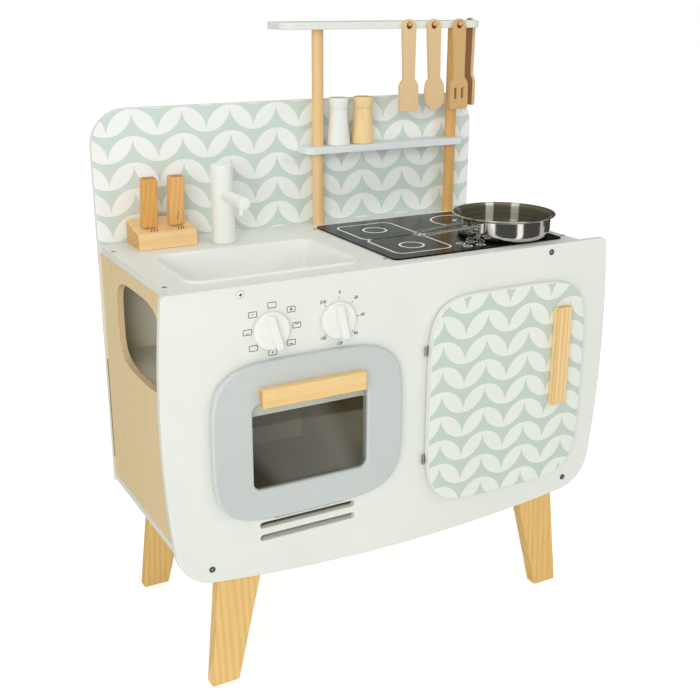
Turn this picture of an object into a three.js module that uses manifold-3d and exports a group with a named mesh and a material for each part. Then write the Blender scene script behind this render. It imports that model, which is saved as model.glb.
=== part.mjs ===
// Toy kitchen for children: a cabinet on four legs with an oven, a cupboard, a sink, a hob and a shelf rack.
// Units are millimetres, +Z is up, +Y points to the back and the origin is on the floor under the middle.
import * as THREE from "three";
import { mergeVertices } from "three/addons/utils/BufferGeometryUtils.js";
import Module from "manifold-3d";

const wasm = await Module();
wasm.setup();

// ---------------------------------------------------------------- driving dimensions
const SHEET = 9;                      // thickness of the lacquered board
const BACK_SHEET = 6;                 // thickness of the back panel
const FRONT_Y = -125.5;               // front face of the front panel
const CABINET_FRONT_Y = FRONT_Y + SHEET;
const BACK_Y = 130.5;                 // front face of the back panel
const FLOOR_Z = 172;                  // underside of the bottom panel
const TOP_Z = 490;                    // top of the worktop
const CABINET_LEFT = -287;
const CABINET_RIGHT = 259;
const PARTITION_X = -11;              // centre of the upright between oven and cupboard
const INNER_LOW_Z = FLOOR_Z + SHEET;
const INNER_HIGH_Z = TOP_Z - SHEET;
const OVEN_ROOF_Z = 351;              // top of the shelf over the oven

const BACK_LEFT = -289;
const BACK_RIGHT = 259;
const BACK_TOP_Z = 653;
const BACK_CORNER = 45;

const FRONT = { topHalf: 291, shoulder: 299, belly: 314, waist: 297, cornerX: 291, heelX: 255 };
const FRONT_TOP_CORNER = 8;
const FRONT_WAIST_Z = 190;
const FRONT_BELLY_Z = 336;
const FRONT_CORNER_Z = 152;
const FRONT_HEEL_Z = 144;
const FRONT_SAG_Z = 112;

const SIDE_HOLE = { y: -3.5, z: 410.5, halfY: 79, halfZ: 52.5, power: 3.8 };

const OVEN_X = -131.5;
const OVEN_DOOR = { z: 309, halfX: 120.5, halfZ: 96, power: 4.2 };
const OVEN_WINDOW = { width: 146, low: 252, high: 356, corner: 10 };
const OVEN_MOUTH = { width: 155, low: 246, high: 338.5, corner: 8 };
const WINDOW_SHEET = 2;
const VENT = { length: 124.5, height: 7.5, first: 201, second: 184.8 };

const CUPBOARD_DOOR = { x: 145.5, z: 310, halfX: 117.7, halfZ: 134.7, power: 5.2 };
const CUPBOARD_MOUTH = { width: 196, height: 228, corner: 30 };

const DOOR_GAP = 2;                   // between a closed door and the front panel
const DOOR_EDGE = 2.5;                // rounding of the oven door edge
const SOFT_EDGE = 1.5;                // wider edges are rounded in two steps
const DOOR_BACK_Y = FRONT_Y - DOOR_GAP;
const DOOR_FRONT_Y = DOOR_BACK_Y - SHEET;

const HANDLE = { length: 130, width: 22, thick: 11, edge: 1.2 };
const OVEN_HANDLE_Z = 365.5;
const CUPBOARD_HANDLE = { x: 221, z: 347.5 };

const HINGE = { radius: 1.9, pin: 0.8, leaf: 1, reach: 18, off: 2.2, play: 0.3, bore: 1.1 };
const OVEN_HINGE_LENGTH = 90;
const OVEN_HINGE_Z = OVEN_DOOR.z - OVEN_DOOR.halfZ - HINGE.off;
const CUPBOARD_HINGE_LENGTH = 12;
const CUPBOARD_HINGE_X = CUPBOARD_DOOR.x - CUPBOARD_DOOR.halfX - HINGE.off;
const CUPBOARD_HINGE_Z = [380, 238.5];

const KNOB = { radius: 21.5, disc: 6, height: 15, bar: 8.6, length: 40, turn: [17, 12], z: 436.5, gap: 0.6 };
const KNOB_X = [-176, -93];
const SPINDLE = { radius: 2.5, bore: 3, head: 5, headThick: 3, behind: 4, into: 9 };

const SCREW = { head: 3.7, dome: 1.2, shank: 1.8, play: 0.25, length: 24 };
const UPPER_SCREW = { x: 209.5, z: 479 };
const LOWER_SCREW = { x: 255, z: 161.5 };
const BLOCK = { width: 18, depth: 18, height: 20 };

const FRONT_FOOT = { outer: 259, inner: 224, front: FRONT_Y + 4.5, back: FRONT_Y + 22 };
const FRONT_LEG_TOP = { outer: 241, inner: 181, front: FRONT_Y + 10.4, back: FRONT_Y + 28.4 };
const REAR_FOOT = { outer: 259, inner: 224, front: FRONT_Y + 256, back: FRONT_Y + 273 };
const REAR_LEG_TOP = { outer: 241, inner: 181, front: FRONT_Y + 248, back: FRONT_Y + 266 };

const BASIN = { x: -149, y: -24.5, width: 218, depth: 142, corner: 22, rise: 2.4, low: 452 };
const BASIN_LIP = 8;                  // flange that rests on the worktop
const BASIN_WALL = 2.4;
const BASIN_DRAFT = 7;

const HOB = { x: 118, y: -4, width: 250, depth: 205, corner: 8, thick: 2 };

const DOWEL = { radius: 7.5, y: 117.5, x: [8, 216.3], tenon: 5 };
const MID_SHELF = { left: -16, right: 230, front: 98.5, top: 594.5, corner: 11 };
const TOP_SHELF = { left: -51, right: 248, front: 92.5, back: 142.5, top: 750, corner: 18 };
const REAR_CORNER = 2;                // shelf corners at the wall side

const PEG = { radius: 2.4, inside: 9, outside: 8.5 };
const PEG_X = [127.1, 165.5, 205.6];
const END_PEG_Y = 132.9;
const PEG_Z = TOP_SHELF.top - 3.5;
const TOOL = { thick: 5, grip: 10.5, neck: 8.8, hole: 4.5, above: 8, length: 117.5, gap: 0.8, drop: 1.55,
  edge: 0.8 };
const TOOL_LEAN = [0.9, 2.3, 1.6];    // degrees, the low end towards +X
const END_GAP = 4;
const SLOT = { width: 3.4, from: 89.5, to: 104, pitch: 11 };
const TOOL_HEAD = { half: 14.6, shoulder: 76, start: 86, corner: 4 };

const MILL = { x: [36.5, 73.5], y: 114, height: 61, foot: 15.4, waist: 11.8, head: 13.4, neck: 46, cap: 51 };

const KNIFE_BLOCK = { left: -254, right: -180, front: 76.5, back: 125, low: 19.5, high: 30 };
const KNIFE = { width: 18.5, depth: 14.5, height: 61, blade: 13, steel: 3, reach: 20, play: 0.4, edge: 2 };
const KNIFE_AT = [[-234.3, 97], [-200, 97.5]];
const KNIFE_LEAN = THREE.MathUtils.degToRad(8);

const TAP = { x: -144.5, y: 78.5, base: 15, top: 13.7, height: 96.5, spigot: 8, spigotLength: 14 };
const SPOUT = { radius: 7.5, z: 549.5, reach: 69 };
const NOZZLE = { radius: 3.3, reach: 58, low: 534 };

const PAN = { x: 186.5, y: 72 + FRONT_Y, rim: 65.8, wall: 59.8, base: 55.5, height: 28.6, sheet: 1.2, lift: 0.3 };
const PAN_HANDLE = { angle: 197.5, wire: 2, start: 68.8, length: 102, spread: 12, tip: 8, z: 22.4 };
const BRACKET = { width: 30, height: 13, thick: 2.5, z: 18.5 };

const ROUND = 24;                     // facets of a turned part
const PAN_FACETS = 40;
const FINE = 64;                      // points of a barrel outline

// ---------------------------------------------------------------- finishes
const finish = (color, roughness, metalness = 0) => () =>
  new THREE.MeshStandardMaterial({ color, roughness, metalness });
const white = finish(0xeff2ea, 0.45);
const veneer = finish(0xd8c096, 0.6);
const pine = finish(0xe2b36a, 0.6);
const honey = finish(0xefc481, 0.55);
const beech = finish(0xd9b483, 0.6);
const dowelWood = finish(0xdfa964, 0.6);
const paleGrey = finish(0xccd3cf, 0.45);
const shelfGrey = finish(0xbdc6c8, 0.45);
const sage = finish(0xd4ded2, 0.5);
const plastic = finish(0xe2ded8, 0.35);
const charcoal = finish(0x3b3a33, 0.3);
const steel = finish(0xc4c2bc, 0.25, 1);
const acrylic = finish(0xc9d3d0, 0.1);

// ---------------------------------------------------------------- geometry helpers
const toXZ = new THREE.Matrix4().makeBasis(
  new THREE.Vector3(1, 0, 0), new THREE.Vector3(0, 0, 1), new THREE.Vector3(0, -1, 0));
const toYZ = new THREE.Matrix4().makeBasis(
  new THREE.Vector3(0, 1, 0), new THREE.Vector3(0, 0, 1), new THREE.Vector3(1, 0, 0));
const axisToX = new THREE.Matrix4().makeBasis(
  new THREE.Vector3(0, 0, 1), new THREE.Vector3(0, 1, 0), new THREE.Vector3(-1, 0, 0));

function makeMesh(name, geometry, material) {
  const mesh = new THREE.Mesh(geometry, material());
  mesh.name = name;
  return mesh;
}

function rectangle(x0, y0, x1, y1) {
  const shape = new THREE.Shape();
  shape.moveTo(x0, y0);
  shape.lineTo(x1, y0);
  shape.lineTo(x1, y1);
  shape.lineTo(x0, y1);
  shape.closePath();
  return shape;
}

function roundedRectangle(x0, y0, x1, y1, r, Kind = THREE.Shape) {
  const shape = new Kind();
  shape.moveTo(x0 + r, y0);
  shape.lineTo(x1 - r, y0);
  shape.absarc(x1 - r, y0 + r, r, -Math.PI / 2, 0);
  shape.lineTo(x1, y1 - r);
  shape.absarc(x1 - r, y1 - r, r, 0, Math.PI / 2);
  shape.lineTo(x0 + r, y1);
  shape.absarc(x0 + r, y1 - r, r, Math.PI / 2, Math.PI);
  shape.lineTo(x0, y0 + r);
  shape.absarc(x0 + r, y0 + r, r, Math.PI, Math.PI * 1.5);
  return shape;
}

// Shelf outline: the front corners are well rounded, the two at the wall side hardly.
function shelfOutline(x0, y0, x1, y1, r, rear) {
  const shape = new THREE.Shape();
  shape.moveTo(x0 + r, y0);
  shape.lineTo(x1 - r, y0);
  shape.absarc(x1 - r, y0 + r, r, -Math.PI / 2, 0);
  shape.lineTo(x1, y1 - rear);
  shape.absarc(x1 - rear, y1 - rear, rear, 0, Math.PI / 2);
  shape.lineTo(x0 + rear, y1);
  shape.absarc(x0 + rear, y1 - rear, rear, Math.PI / 2, Math.PI);
  shape.lineTo(x0, y0 + r);
  shape.absarc(x0 + r, y0 + r, r, Math.PI, Math.PI * 1.5);
  return shape;
}

// Barrel outline: a superellipse, with sides that swell and corners that stay soft.
function barrel(cx, cy, halfX, halfY, power, Kind = THREE.Shape) {
  const points = [];
  for (let i = 0; i < FINE; i += 1) {
    const t = (i / FINE) * Math.PI * 2;
    const c = Math.cos(t);
    const s = Math.sin(t);
    const x = cx + halfX * Math.sign(c) * Math.abs(c) ** (2 / power);
    const y = cy + halfY * Math.sign(s) * Math.abs(s) ** (2 / power);
    points.push(new THREE.Vector2(x, y));
  }
  const shape = new Kind();
  shape.setFromPoints(points);
  shape.closePath();
  return shape;
}

function circleHole(x, y, r) {
  const path = new THREE.Path();
  path.absarc(x, y, r, 0, Math.PI * 2, true);
  return path;
}

function extrude(shape, depth, edge = 0, curveSegments = 4) {
  return new THREE.ExtrudeGeometry(shape, {
    depth: depth - 2 * edge,
    curveSegments,
    bevelEnabled: edge > 0,
    bevelThickness: edge,
    bevelSize: edge,
    bevelOffset: -edge,
    bevelSegments: edge > SOFT_EDGE ? 2 : 1,
  }).translate(0, 0, edge);
}

// Board lying flat: the shape is drawn in X and Y and the board rises from z0.
function flatBoard(name, shape, z0, thick, material, edge = 0) {
  return makeMesh(name, extrude(shape, thick, edge).translate(0, 0, z0), material);
}

// Board facing the viewer: the shape is drawn in X and Z and its rear face is at backY.
function frontBoard(name, shape, backY, thick, material, edge = 0, curveSegments = 4) {
  const geometry = extrude(shape, thick, edge, curveSegments).applyMatrix4(toXZ).translate(0, backY, 0);
  return makeMesh(name, geometry, material);
}

// Board facing sideways: the shape is drawn in Y and Z and its left face is at x0.
function sideBoard(name, shape, x0, thick, material, edge = 0) {
  const geometry = extrude(shape, thick, edge).applyMatrix4(toYZ).translate(x0, 0, 0);
  return makeMesh(name, geometry, material);
}

function turned(profile, segments = ROUND) {
  const points = profile.map(([r, z]) => new THREE.Vector2(r, z));
  return new THREE.LatheGeometry(points, segments).rotateX(Math.PI / 2);
}

function cylinder(radius, length, segments = ROUND) {
  return turned([[0, 0], [radius, 0], [radius, length], [0, length]], segments);
}

function toSolid(geometry) {
  const bare = geometry.clone();
  bare.deleteAttribute("normal");
  bare.deleteAttribute("uv");
  const merged = mergeVertices(bare, 1e-4);
  const vertProperties = new Float32Array(merged.attributes.position.array);
  const triVerts = new Uint32Array(merged.index.array);
  return new wasm.Manifold(new wasm.Mesh({ numProp: 3, vertProperties, triVerts }));
}

function toGeometry(solid) {
  const mesh = solid.getMesh();
  const geometry = new THREE.BufferGeometry();
  geometry.setAttribute("position", new THREE.BufferAttribute(mesh.vertProperties, 3));
  geometry.setIndex(new THREE.BufferAttribute(mesh.triVerts, 1));
  const flat = geometry.toNonIndexed();
  flat.computeVertexNormals();
  return flat;
}

function cut(geometry, tools) {
  let solid = toSolid(geometry);
  for (const tool of tools) {
    solid = solid.subtract(toSolid(tool));
  }
  return toGeometry(solid);
}

function join(geometries) {
  let solid = toSolid(geometries[0]);
  for (const other of geometries.slice(1)) {
    solid = solid.add(toSolid(other));
  }
  return toGeometry(solid);
}

// Skin over a stack of equal rings, closed by a fan at each end.
function loft(rings) {
  const count = rings[0].length;
  const vertices = rings.flat().flatMap((p) => [p.x, p.y, p.z]);
  const centre = (ring) => ring.reduce((sum, p) => sum.add(p), new THREE.Vector3()).divideScalar(count);
  const first = centre(rings[0]);
  const last = centre(rings[rings.length - 1]);
  vertices.push(first.x, first.y, first.z, last.x, last.y, last.z);
  const firstIndex = rings.length * count;
  const lastIndex = firstIndex + 1;
  const topRow = (rings.length - 1) * count;
  const index = [];
  for (let i = 0; i < count; i += 1) {
    const j = (i + 1) % count;
    index.push(firstIndex, j, i);
    index.push(lastIndex, topRow + i, topRow + j);
    for (let k = 0; k < rings.length - 1; k += 1) {
      const a = k * count;
      const b = a + count;
      index.push(a + i, a + j, b + j, a + i, b + j, b + i);
    }
  }
  const geometry = new THREE.BufferGeometry();
  geometry.setAttribute("position", new THREE.Float32BufferAttribute(vertices, 3));
  geometry.setIndex(index);
  const flat = geometry.toNonIndexed();
  flat.computeVertexNormals();
  return flat;
}

// ---------------------------------------------------------------- cabinet
function frontOutline() {
  const side = FRONT.shoulder;
  const high = TOP_Z - FRONT_TOP_CORNER;
  const shape = new THREE.Shape();
  shape.moveTo(-FRONT.topHalf, TOP_Z);
  shape.quadraticCurveTo(-side, TOP_Z, -side, high);
  shape.quadraticCurveTo(-FRONT.belly, FRONT_BELLY_Z, -FRONT.waist, FRONT_WAIST_Z);
  shape.quadraticCurveTo(-FRONT.cornerX, FRONT_CORNER_Z, -FRONT.heelX, FRONT_HEEL_Z);
  shape.quadraticCurveTo(0, FRONT_SAG_Z, FRONT.heelX, FRONT_HEEL_Z);
  shape.quadraticCurveTo(FRONT.cornerX, FRONT_CORNER_Z, FRONT.waist, FRONT_WAIST_Z);
  shape.quadraticCurveTo(FRONT.belly, FRONT_BELLY_Z, side, high);
  shape.quadraticCurveTo(side, TOP_Z, FRONT.topHalf, TOP_Z);
  shape.closePath();
  return shape;
}

function ventHole(z) {
  const halfLength = VENT.length / 2;
  const r = VENT.height / 2;
  return roundedRectangle(OVEN_X - halfLength, z - r, OVEN_X + halfLength, z + r, r * 0.999, THREE.Path);
}

function frontPanel() {
  const shape = frontOutline();
  const halfMouth = OVEN_MOUTH.width / 2;
  shape.holes.push(roundedRectangle(OVEN_X - halfMouth, OVEN_MOUTH.low,
    OVEN_X + halfMouth, OVEN_MOUTH.high, OVEN_MOUTH.corner, THREE.Path));
  shape.holes.push(ventHole(VENT.first), ventHole(VENT.second));
  const halfW = CUPBOARD_MOUTH.width / 2;
  const halfH = CUPBOARD_MOUTH.height / 2;
  shape.holes.push(roundedRectangle(CUPBOARD_DOOR.x - halfW, CUPBOARD_DOOR.z - halfH,
    CUPBOARD_DOOR.x + halfW, CUPBOARD_DOOR.z + halfH, CUPBOARD_MOUTH.corner, THREE.Path));
  for (const x of KNOB_X) {
    shape.holes.push(circleHole(x, KNOB.z, SPINDLE.bore));
  }
  for (const side of [-1, 1]) {
    shape.holes.push(circleHole(side * UPPER_SCREW.x, UPPER_SCREW.z, SCREW.shank));
    shape.holes.push(circleHole(side * LOWER_SCREW.x, LOWER_SCREW.z, SCREW.shank));
  }
  return frontBoard("front_panel", shape, CABINET_FRONT_Y, SHEET, white, 0, ROUND / 3);
}

function worktop() {
  const shape = rectangle(CABINET_LEFT, CABINET_FRONT_Y, CABINET_RIGHT, BACK_Y);
  const halfW = BASIN.width / 2 - BASIN_LIP + 0.5;
  const halfD = BASIN.depth / 2 - BASIN_LIP + 0.5;
  shape.holes.push(roundedRectangle(BASIN.x - halfW, BASIN.y - halfD,
    BASIN.x + halfW, BASIN.y + halfD, BASIN.corner - BASIN_LIP, THREE.Path));
  for (const x of DOWEL.x) {
    shape.holes.push(circleHole(x, DOWEL.y, DOWEL.radius));
  }
  shape.holes.push(circleHole(TAP.x, TAP.y, TAP.spigot + 0.4));
  const geometry = extrude(shape, SHEET, 0, ROUND / 2).translate(0, 0, INNER_HIGH_Z);
  return makeMesh("worktop", geometry, white);
}

function backPanel() {
  const shape = new THREE.Shape();
  shape.moveTo(BACK_LEFT, FLOOR_Z);
  shape.lineTo(BACK_RIGHT, FLOOR_Z);
  shape.lineTo(BACK_RIGHT, BACK_TOP_Z - BACK_CORNER);
  shape.absarc(BACK_RIGHT - BACK_CORNER, BACK_TOP_Z - BACK_CORNER, BACK_CORNER, 0, Math.PI / 2);
  shape.lineTo(BACK_LEFT + BACK_CORNER, BACK_TOP_Z);
  shape.absarc(BACK_LEFT + BACK_CORNER, BACK_TOP_Z - BACK_CORNER, BACK_CORNER, Math.PI / 2, Math.PI);
  shape.closePath();
  return frontBoard("back_panel", shape, BACK_Y + BACK_SHEET, BACK_SHEET, sage, 0, ROUND / 3);
}

function cabinetBoards() {
  const side = () => rectangle(CABINET_FRONT_Y, INNER_LOW_Z, BACK_Y, INNER_HIGH_Z);
  const left = side();
  left.holes.push(barrel(SIDE_HOLE.y, SIDE_HOLE.z, SIDE_HOLE.halfY, SIDE_HOLE.halfZ,
    SIDE_HOLE.power, THREE.Path));
  const bottom = rectangle(CABINET_LEFT, CABINET_FRONT_Y, CABINET_RIGHT, BACK_Y);
  const partitionLeft = PARTITION_X - SHEET / 2;
  const roof = rectangle(CABINET_LEFT + SHEET, CABINET_FRONT_Y, partitionLeft, BACK_Y);
  return [
    flatBoard("bottom_panel", bottom, FLOOR_Z, SHEET, white),
    sideBoard("left_side_panel", left, CABINET_LEFT, SHEET, veneer),
    sideBoard("right_side_panel", side(), CABINET_RIGHT - SHEET, SHEET, veneer),
    sideBoard("centre_partition", side(), partitionLeft, SHEET, white),
    flatBoard("oven_roof_shelf", roof, OVEN_ROOF_Z - SHEET, SHEET, white),
  ];
}

function cornerBlock(name, x, z0, screwZ) {
  const half = BLOCK.width / 2;
  const shape = rectangle(x - half, z0, x + half, z0 + BLOCK.height);
  shape.holes.push(circleHole(x, screwZ, SCREW.shank));
  return frontBoard(name, shape, CABINET_FRONT_Y + BLOCK.depth, BLOCK.depth, pine);
}

function panelScrew(name, x, z) {
  const rimHeight = SCREW.dome / 2;
  const geometry = turned([
    [0, -SCREW.dome],
    [SCREW.head * 0.75, -SCREW.dome * 0.85],
    [SCREW.head, -rimHeight],
    [SCREW.head, 0],
    [SCREW.shank - SCREW.play, 0],
    [SCREW.shank - SCREW.play, SCREW.length],
    [0, SCREW.length],
  ], ROUND / 2);
  const mesh = makeMesh(name, geometry.rotateX(-Math.PI / 2), steel);
  mesh.position.set(x, FRONT_Y, z);
  return mesh;
}

function frontFixings() {
  const pieces = [];
  for (const [word, side] of [["left", -1], ["right", 1]]) {
    const upperX = side * UPPER_SCREW.x;
    const lowerX = side * LOWER_SCREW.x;
    pieces.push(cornerBlock(`upper_${word}_block`, upperX, INNER_HIGH_Z - BLOCK.height, UPPER_SCREW.z));
    pieces.push(cornerBlock(`lower_${word}_block`, lowerX, FLOOR_Z - BLOCK.height, LOWER_SCREW.z));
    pieces.push(panelScrew(`upper_${word}_screw`, upperX, UPPER_SCREW.z));
    pieces.push(panelScrew(`lower_${word}_screw`, lowerX, LOWER_SCREW.z));
  }
  return pieces;
}

function legRing(side, section, z) {
  const xs = [side * section.outer, side * section.inner].sort((a, b) => a - b);
  return [
    new THREE.Vector3(xs[0], section.front, z),
    new THREE.Vector3(xs[1], section.front, z),
    new THREE.Vector3(xs[1], section.back, z),
    new THREE.Vector3(xs[0], section.back, z),
  ];
}

function legs() {
  const kinds = [["front", FRONT_FOOT, FRONT_LEG_TOP], ["rear", REAR_FOOT, REAR_LEG_TOP]];
  const pieces = [];
  for (const [end, foot, top] of kinds) {
    for (const [word, side] of [["left", -1], ["right", 1]]) {
      const geometry = loft([legRing(side, foot, 0), legRing(side, top, FLOOR_Z)]);
      pieces.push(makeMesh(`${end}_${word}_leg`, geometry, pine));
    }
  }
  return pieces;
}

// ---------------------------------------------------------------- doors, knobs and hinges
function ovenDoor() {
  const group = new THREE.Group();
  group.name = "oven_door_group";
  const shape = barrel(OVEN_X, OVEN_DOOR.z, OVEN_DOOR.halfX, OVEN_DOOR.halfZ, OVEN_DOOR.power);
  const half = OVEN_WINDOW.width / 2;
  const opening = (Kind) => roundedRectangle(OVEN_X - half, OVEN_WINDOW.low,
    OVEN_X + half, OVEN_WINDOW.high, OVEN_WINDOW.corner, Kind);
  shape.holes.push(opening(THREE.Path));
  const paneBackY = DOOR_BACK_Y - DOOR_EDGE;
  const handleHalf = HANDLE.length / 2;
  const bar = rectangle(OVEN_X - handleHalf, OVEN_HANDLE_Z - HANDLE.width / 2,
    OVEN_X + handleHalf, OVEN_HANDLE_Z + HANDLE.width / 2);
  group.add(frontBoard("oven_door", shape, DOOR_BACK_Y, SHEET, paleGrey, DOOR_EDGE));
  group.add(frontBoard("oven_window", opening(THREE.Shape), paneBackY, WINDOW_SHEET, acrylic));
  group.add(frontBoard("oven_handle", bar, DOOR_FRONT_Y, HANDLE.thick, honey, HANDLE.edge));
  return group;
}

function cupboardDoor() {
  const group = new THREE.Group();
  group.name = "cupboard_door_group";
  const door = CUPBOARD_DOOR;
  const shape = barrel(door.x, door.z, door.halfX, door.halfZ, door.power);
  const bar = rectangle(CUPBOARD_HANDLE.x - HANDLE.width / 2, CUPBOARD_HANDLE.z - HANDLE.length / 2,
    CUPBOARD_HANDLE.x + HANDLE.width / 2, CUPBOARD_HANDLE.z + HANDLE.length / 2);
  group.add(frontBoard("cupboard_door", shape, DOOR_BACK_Y, SHEET, sage, 1));
  group.add(frontBoard("cupboard_handle", bar, DOOR_FRONT_Y, HANDLE.thick, honey, HANDLE.edge));
  return group;
}

// Knuckles stand along local Z around the origin and the leaf runs towards +X.
function hingeHalf(length, fixed) {
  const third = length / 3;
  const leafY = fixed ? HINGE.off - HINGE.leaf : HINGE.off - HINGE.leaf * 2;
  const spans = fixed ? [[0, third], [length - third, length]] : [[third, length - third]];
  const trimmed = spans.map(([a, b]) => [a + (fixed ? 0 : HINGE.play), b - (fixed ? 0 : HINGE.play)]);
  const clear = HINGE.radius + HINGE.play;
  const shape = rectangle(clear, 0, clear + HINGE.reach, length);
  const pieces = [extrude(shape, HINGE.leaf).applyMatrix4(toXZ).translate(0, leafY + HINGE.leaf, 0)];
  for (const [low, high] of trimmed) {
    const knuckle = cylinder(HINGE.radius, high - low, ROUND / 2).translate(0, 0, low);
    const tab = rectangle(0, low, clear + 1, high);
    pieces.push(knuckle);
    pieces.push(extrude(tab, HINGE.leaf).applyMatrix4(toXZ).translate(0, leafY + HINGE.leaf, 0));
  }
  const pin = cylinder(fixed ? HINGE.pin : HINGE.bore, length, ROUND / 2);
  const solid = fixed ? join([...pieces, pin]) : cut(join(pieces), [pin]);
  return solid.translate(0, 0, -length / 2);
}

function hinges() {
  const y = FRONT_Y - HINGE.off;
  const pieces = [];
  for (const [word, fixed] of [["frame", true], ["door", false]]) {
    const geometry = hingeHalf(OVEN_HINGE_LENGTH, fixed).applyMatrix4(axisToX);
    const mesh = makeMesh(`oven_hinge_${word}_leaf`, geometry, steel);
    mesh.position.set(OVEN_X, y, OVEN_HINGE_Z);
    pieces.push(mesh);
    for (const [place, z] of [["upper", CUPBOARD_HINGE_Z[0]], ["lower", CUPBOARD_HINGE_Z[1]]]) {
      const leaf = makeMesh(`${place}_hinge_${word}_leaf`, hingeHalf(CUPBOARD_HINGE_LENGTH, fixed), steel);
      leaf.position.set(CUPBOARD_HINGE_X, y, z);
      pieces.push(leaf);
    }
  }
  return pieces;
}

// Flat round knob with a raised grip bar across it. Its axis is local Z, front upwards.
function knobGeometry() {
  const disc = turned([
    [0, 0],
    [KNOB.radius - 0.8, 0],
    [KNOB.radius, 0.8],
    [KNOB.radius, KNOB.disc - 0.8],
    [KNOB.radius - 0.8, KNOB.disc],
    [0, KNOB.disc],
  ], FINE / 2);
  const outline = roundedRectangle(-KNOB.bar / 2, -KNOB.length / 2, KNOB.bar / 2, KNOB.length / 2, 2);
  const bar = extrude(outline, KNOB.height - 1, 0.8).translate(0, 0, 1);
  const bore = cylinder(SPINDLE.radius, SPINDLE.into, ROUND / 2).translate(0, 0, -0.01);
  return cut(join([disc, bar]), [bore]);
}

function knobs() {
  const pieces = [];
  for (const [i, word] of ["left", "right"].entries()) {
    const knob = makeMesh(`${word}_knob`, knobGeometry(), white);
    knob.rotation.set(Math.PI / 2, 0, THREE.MathUtils.degToRad(KNOB.turn[i]));
    knob.position.set(KNOB_X[i], FRONT_Y - KNOB.gap, KNOB.z);
    const start = -SPINDLE.into + KNOB.gap + 0.3;
    const seat = SHEET + SPINDLE.behind - SPINDLE.headThick;
    const geometry = turned([
      [0, start],
      [SPINDLE.radius - 0.2, start],
      [SPINDLE.radius - 0.2, seat],
      [SPINDLE.head, seat],
      [SPINDLE.head, seat + SPINDLE.headThick],
      [0, seat + SPINDLE.headThick],
    ], ROUND / 2);
    const spindle = makeMesh(`${word}_knob_spindle`, geometry.rotateX(-Math.PI / 2), steel);
    spindle.position.set(KNOB_X[i], FRONT_Y, KNOB.z);
    pieces.push(knob, spindle);
  }
  return pieces;
}

// ---------------------------------------------------------------- worktop fittings
function basinRing(inset, z) {
  const w = BASIN.width / 2 - inset;
  const d = BASIN.depth / 2 - inset;
  const r = Math.max(BASIN.corner - inset, 6);
  const outline = roundedRectangle(-w, -d, w, d, r).extractPoints(5).shape;
  const last = outline[outline.length - 1];
  const closed = last.distanceTo(outline[0]) < 1e-6 ? outline.slice(0, -1) : outline;
  return closed.map((p) => new THREE.Vector3(BASIN.x + p.x, BASIN.y + p.y, z));
}

function sinkBasin() {
  const top = TOP_Z + BASIN.rise;
  const wallTop = BASIN_LIP;
  const foot = BASIN_LIP + BASIN_DRAFT;
  const geometry = loft([
    basinRing(foot + 4, BASIN.low),
    basinRing(foot, BASIN.low + 4),
    basinRing(wallTop, TOP_Z),
    basinRing(0, TOP_Z),
    basinRing(0, top - 1),
    basinRing(1.4, top),
    basinRing(BASIN_LIP - 1, top),
    basinRing(wallTop + BASIN_WALL, top - 4),
    basinRing(foot + BASIN_WALL, BASIN.low + 8),
    basinRing(foot + BASIN_WALL + 6, BASIN.low + BASIN_WALL),
  ]);
  return makeMesh("sink_basin", geometry, plastic);
}

function hobPlate() {
  const shape = roundedRectangle(HOB.x - HOB.width / 2, HOB.y - HOB.depth / 2,
    HOB.x + HOB.width / 2, HOB.y + HOB.depth / 2, HOB.corner);
  return flatBoard("hob_plate", shape, TOP_Z, HOB.thick, charcoal);
}

function tap() {
  const profile = [
    [0, -TAP.spigotLength],
    [TAP.spigot, -TAP.spigotLength],
    [TAP.spigot, 0.2],
    [TAP.base, 0.2],
    [TAP.top, TAP.height - 1],
    [TAP.top - 1, TAP.height],
    [0, TAP.height],
  ];
  const column = turned(profile, ROUND);
  const spoutZ = SPOUT.z - TOP_Z;
  const spoutRod = cylinder(SPOUT.radius, SPOUT.reach, ROUND * 0.75).rotateX(Math.PI / 2).translate(0, 0, spoutZ);
  const spout = cut(spoutRod, [column]);
  const nozzleRod = cylinder(NOZZLE.radius, spoutZ - (NOZZLE.low - TOP_Z), ROUND / 2)
    .translate(0, -NOZZLE.reach, NOZZLE.low - TOP_Z);
  const nozzle = cut(nozzleRod, [spoutRod]);
  const group = new THREE.Group();
  group.name = "tap";
  group.position.set(TAP.x, TAP.y, TOP_Z);
  group.add(makeMesh("tap_column", column, white));
  group.add(makeMesh("tap_spout", spout, white));
  group.add(makeMesh("tap_nozzle", nozzle, white));
  return group;
}

// Moves a knife, or the slot for its blade, to its place on the sloping top of the block.
function atKnife(geometry, [x, y]) {
  const { front, back, low, high } = KNIFE_BLOCK;
  const z = TOP_Z + low + (y - front) / (back - front) * (high - low) + 0.5;
  return geometry.rotateX(KNIFE_LEAN).translate(x, y, z);
}

function knifeBlock() {
  const { left, right, front, back, low, high } = KNIFE_BLOCK;
  const profile = new THREE.Shape();
  profile.moveTo(front, TOP_Z);
  profile.lineTo(back, TOP_Z);
  profile.lineTo(back, TOP_Z + high);
  profile.lineTo(front, TOP_Z + low);
  profile.closePath();
  const block = extrude(profile, right - left).applyMatrix4(toYZ).translate(left, 0, 0);
  const width = KNIFE.blade + 2 * KNIFE.play;
  const gap = KNIFE.steel + 2 * KNIFE.play;
  const slots = KNIFE_AT.map((place) =>
    atKnife(new THREE.BoxGeometry(width, gap, KNIFE.reach * 2 + 2), place));
  return makeMesh("knife_block", cut(block, slots), honey);
}

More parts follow.
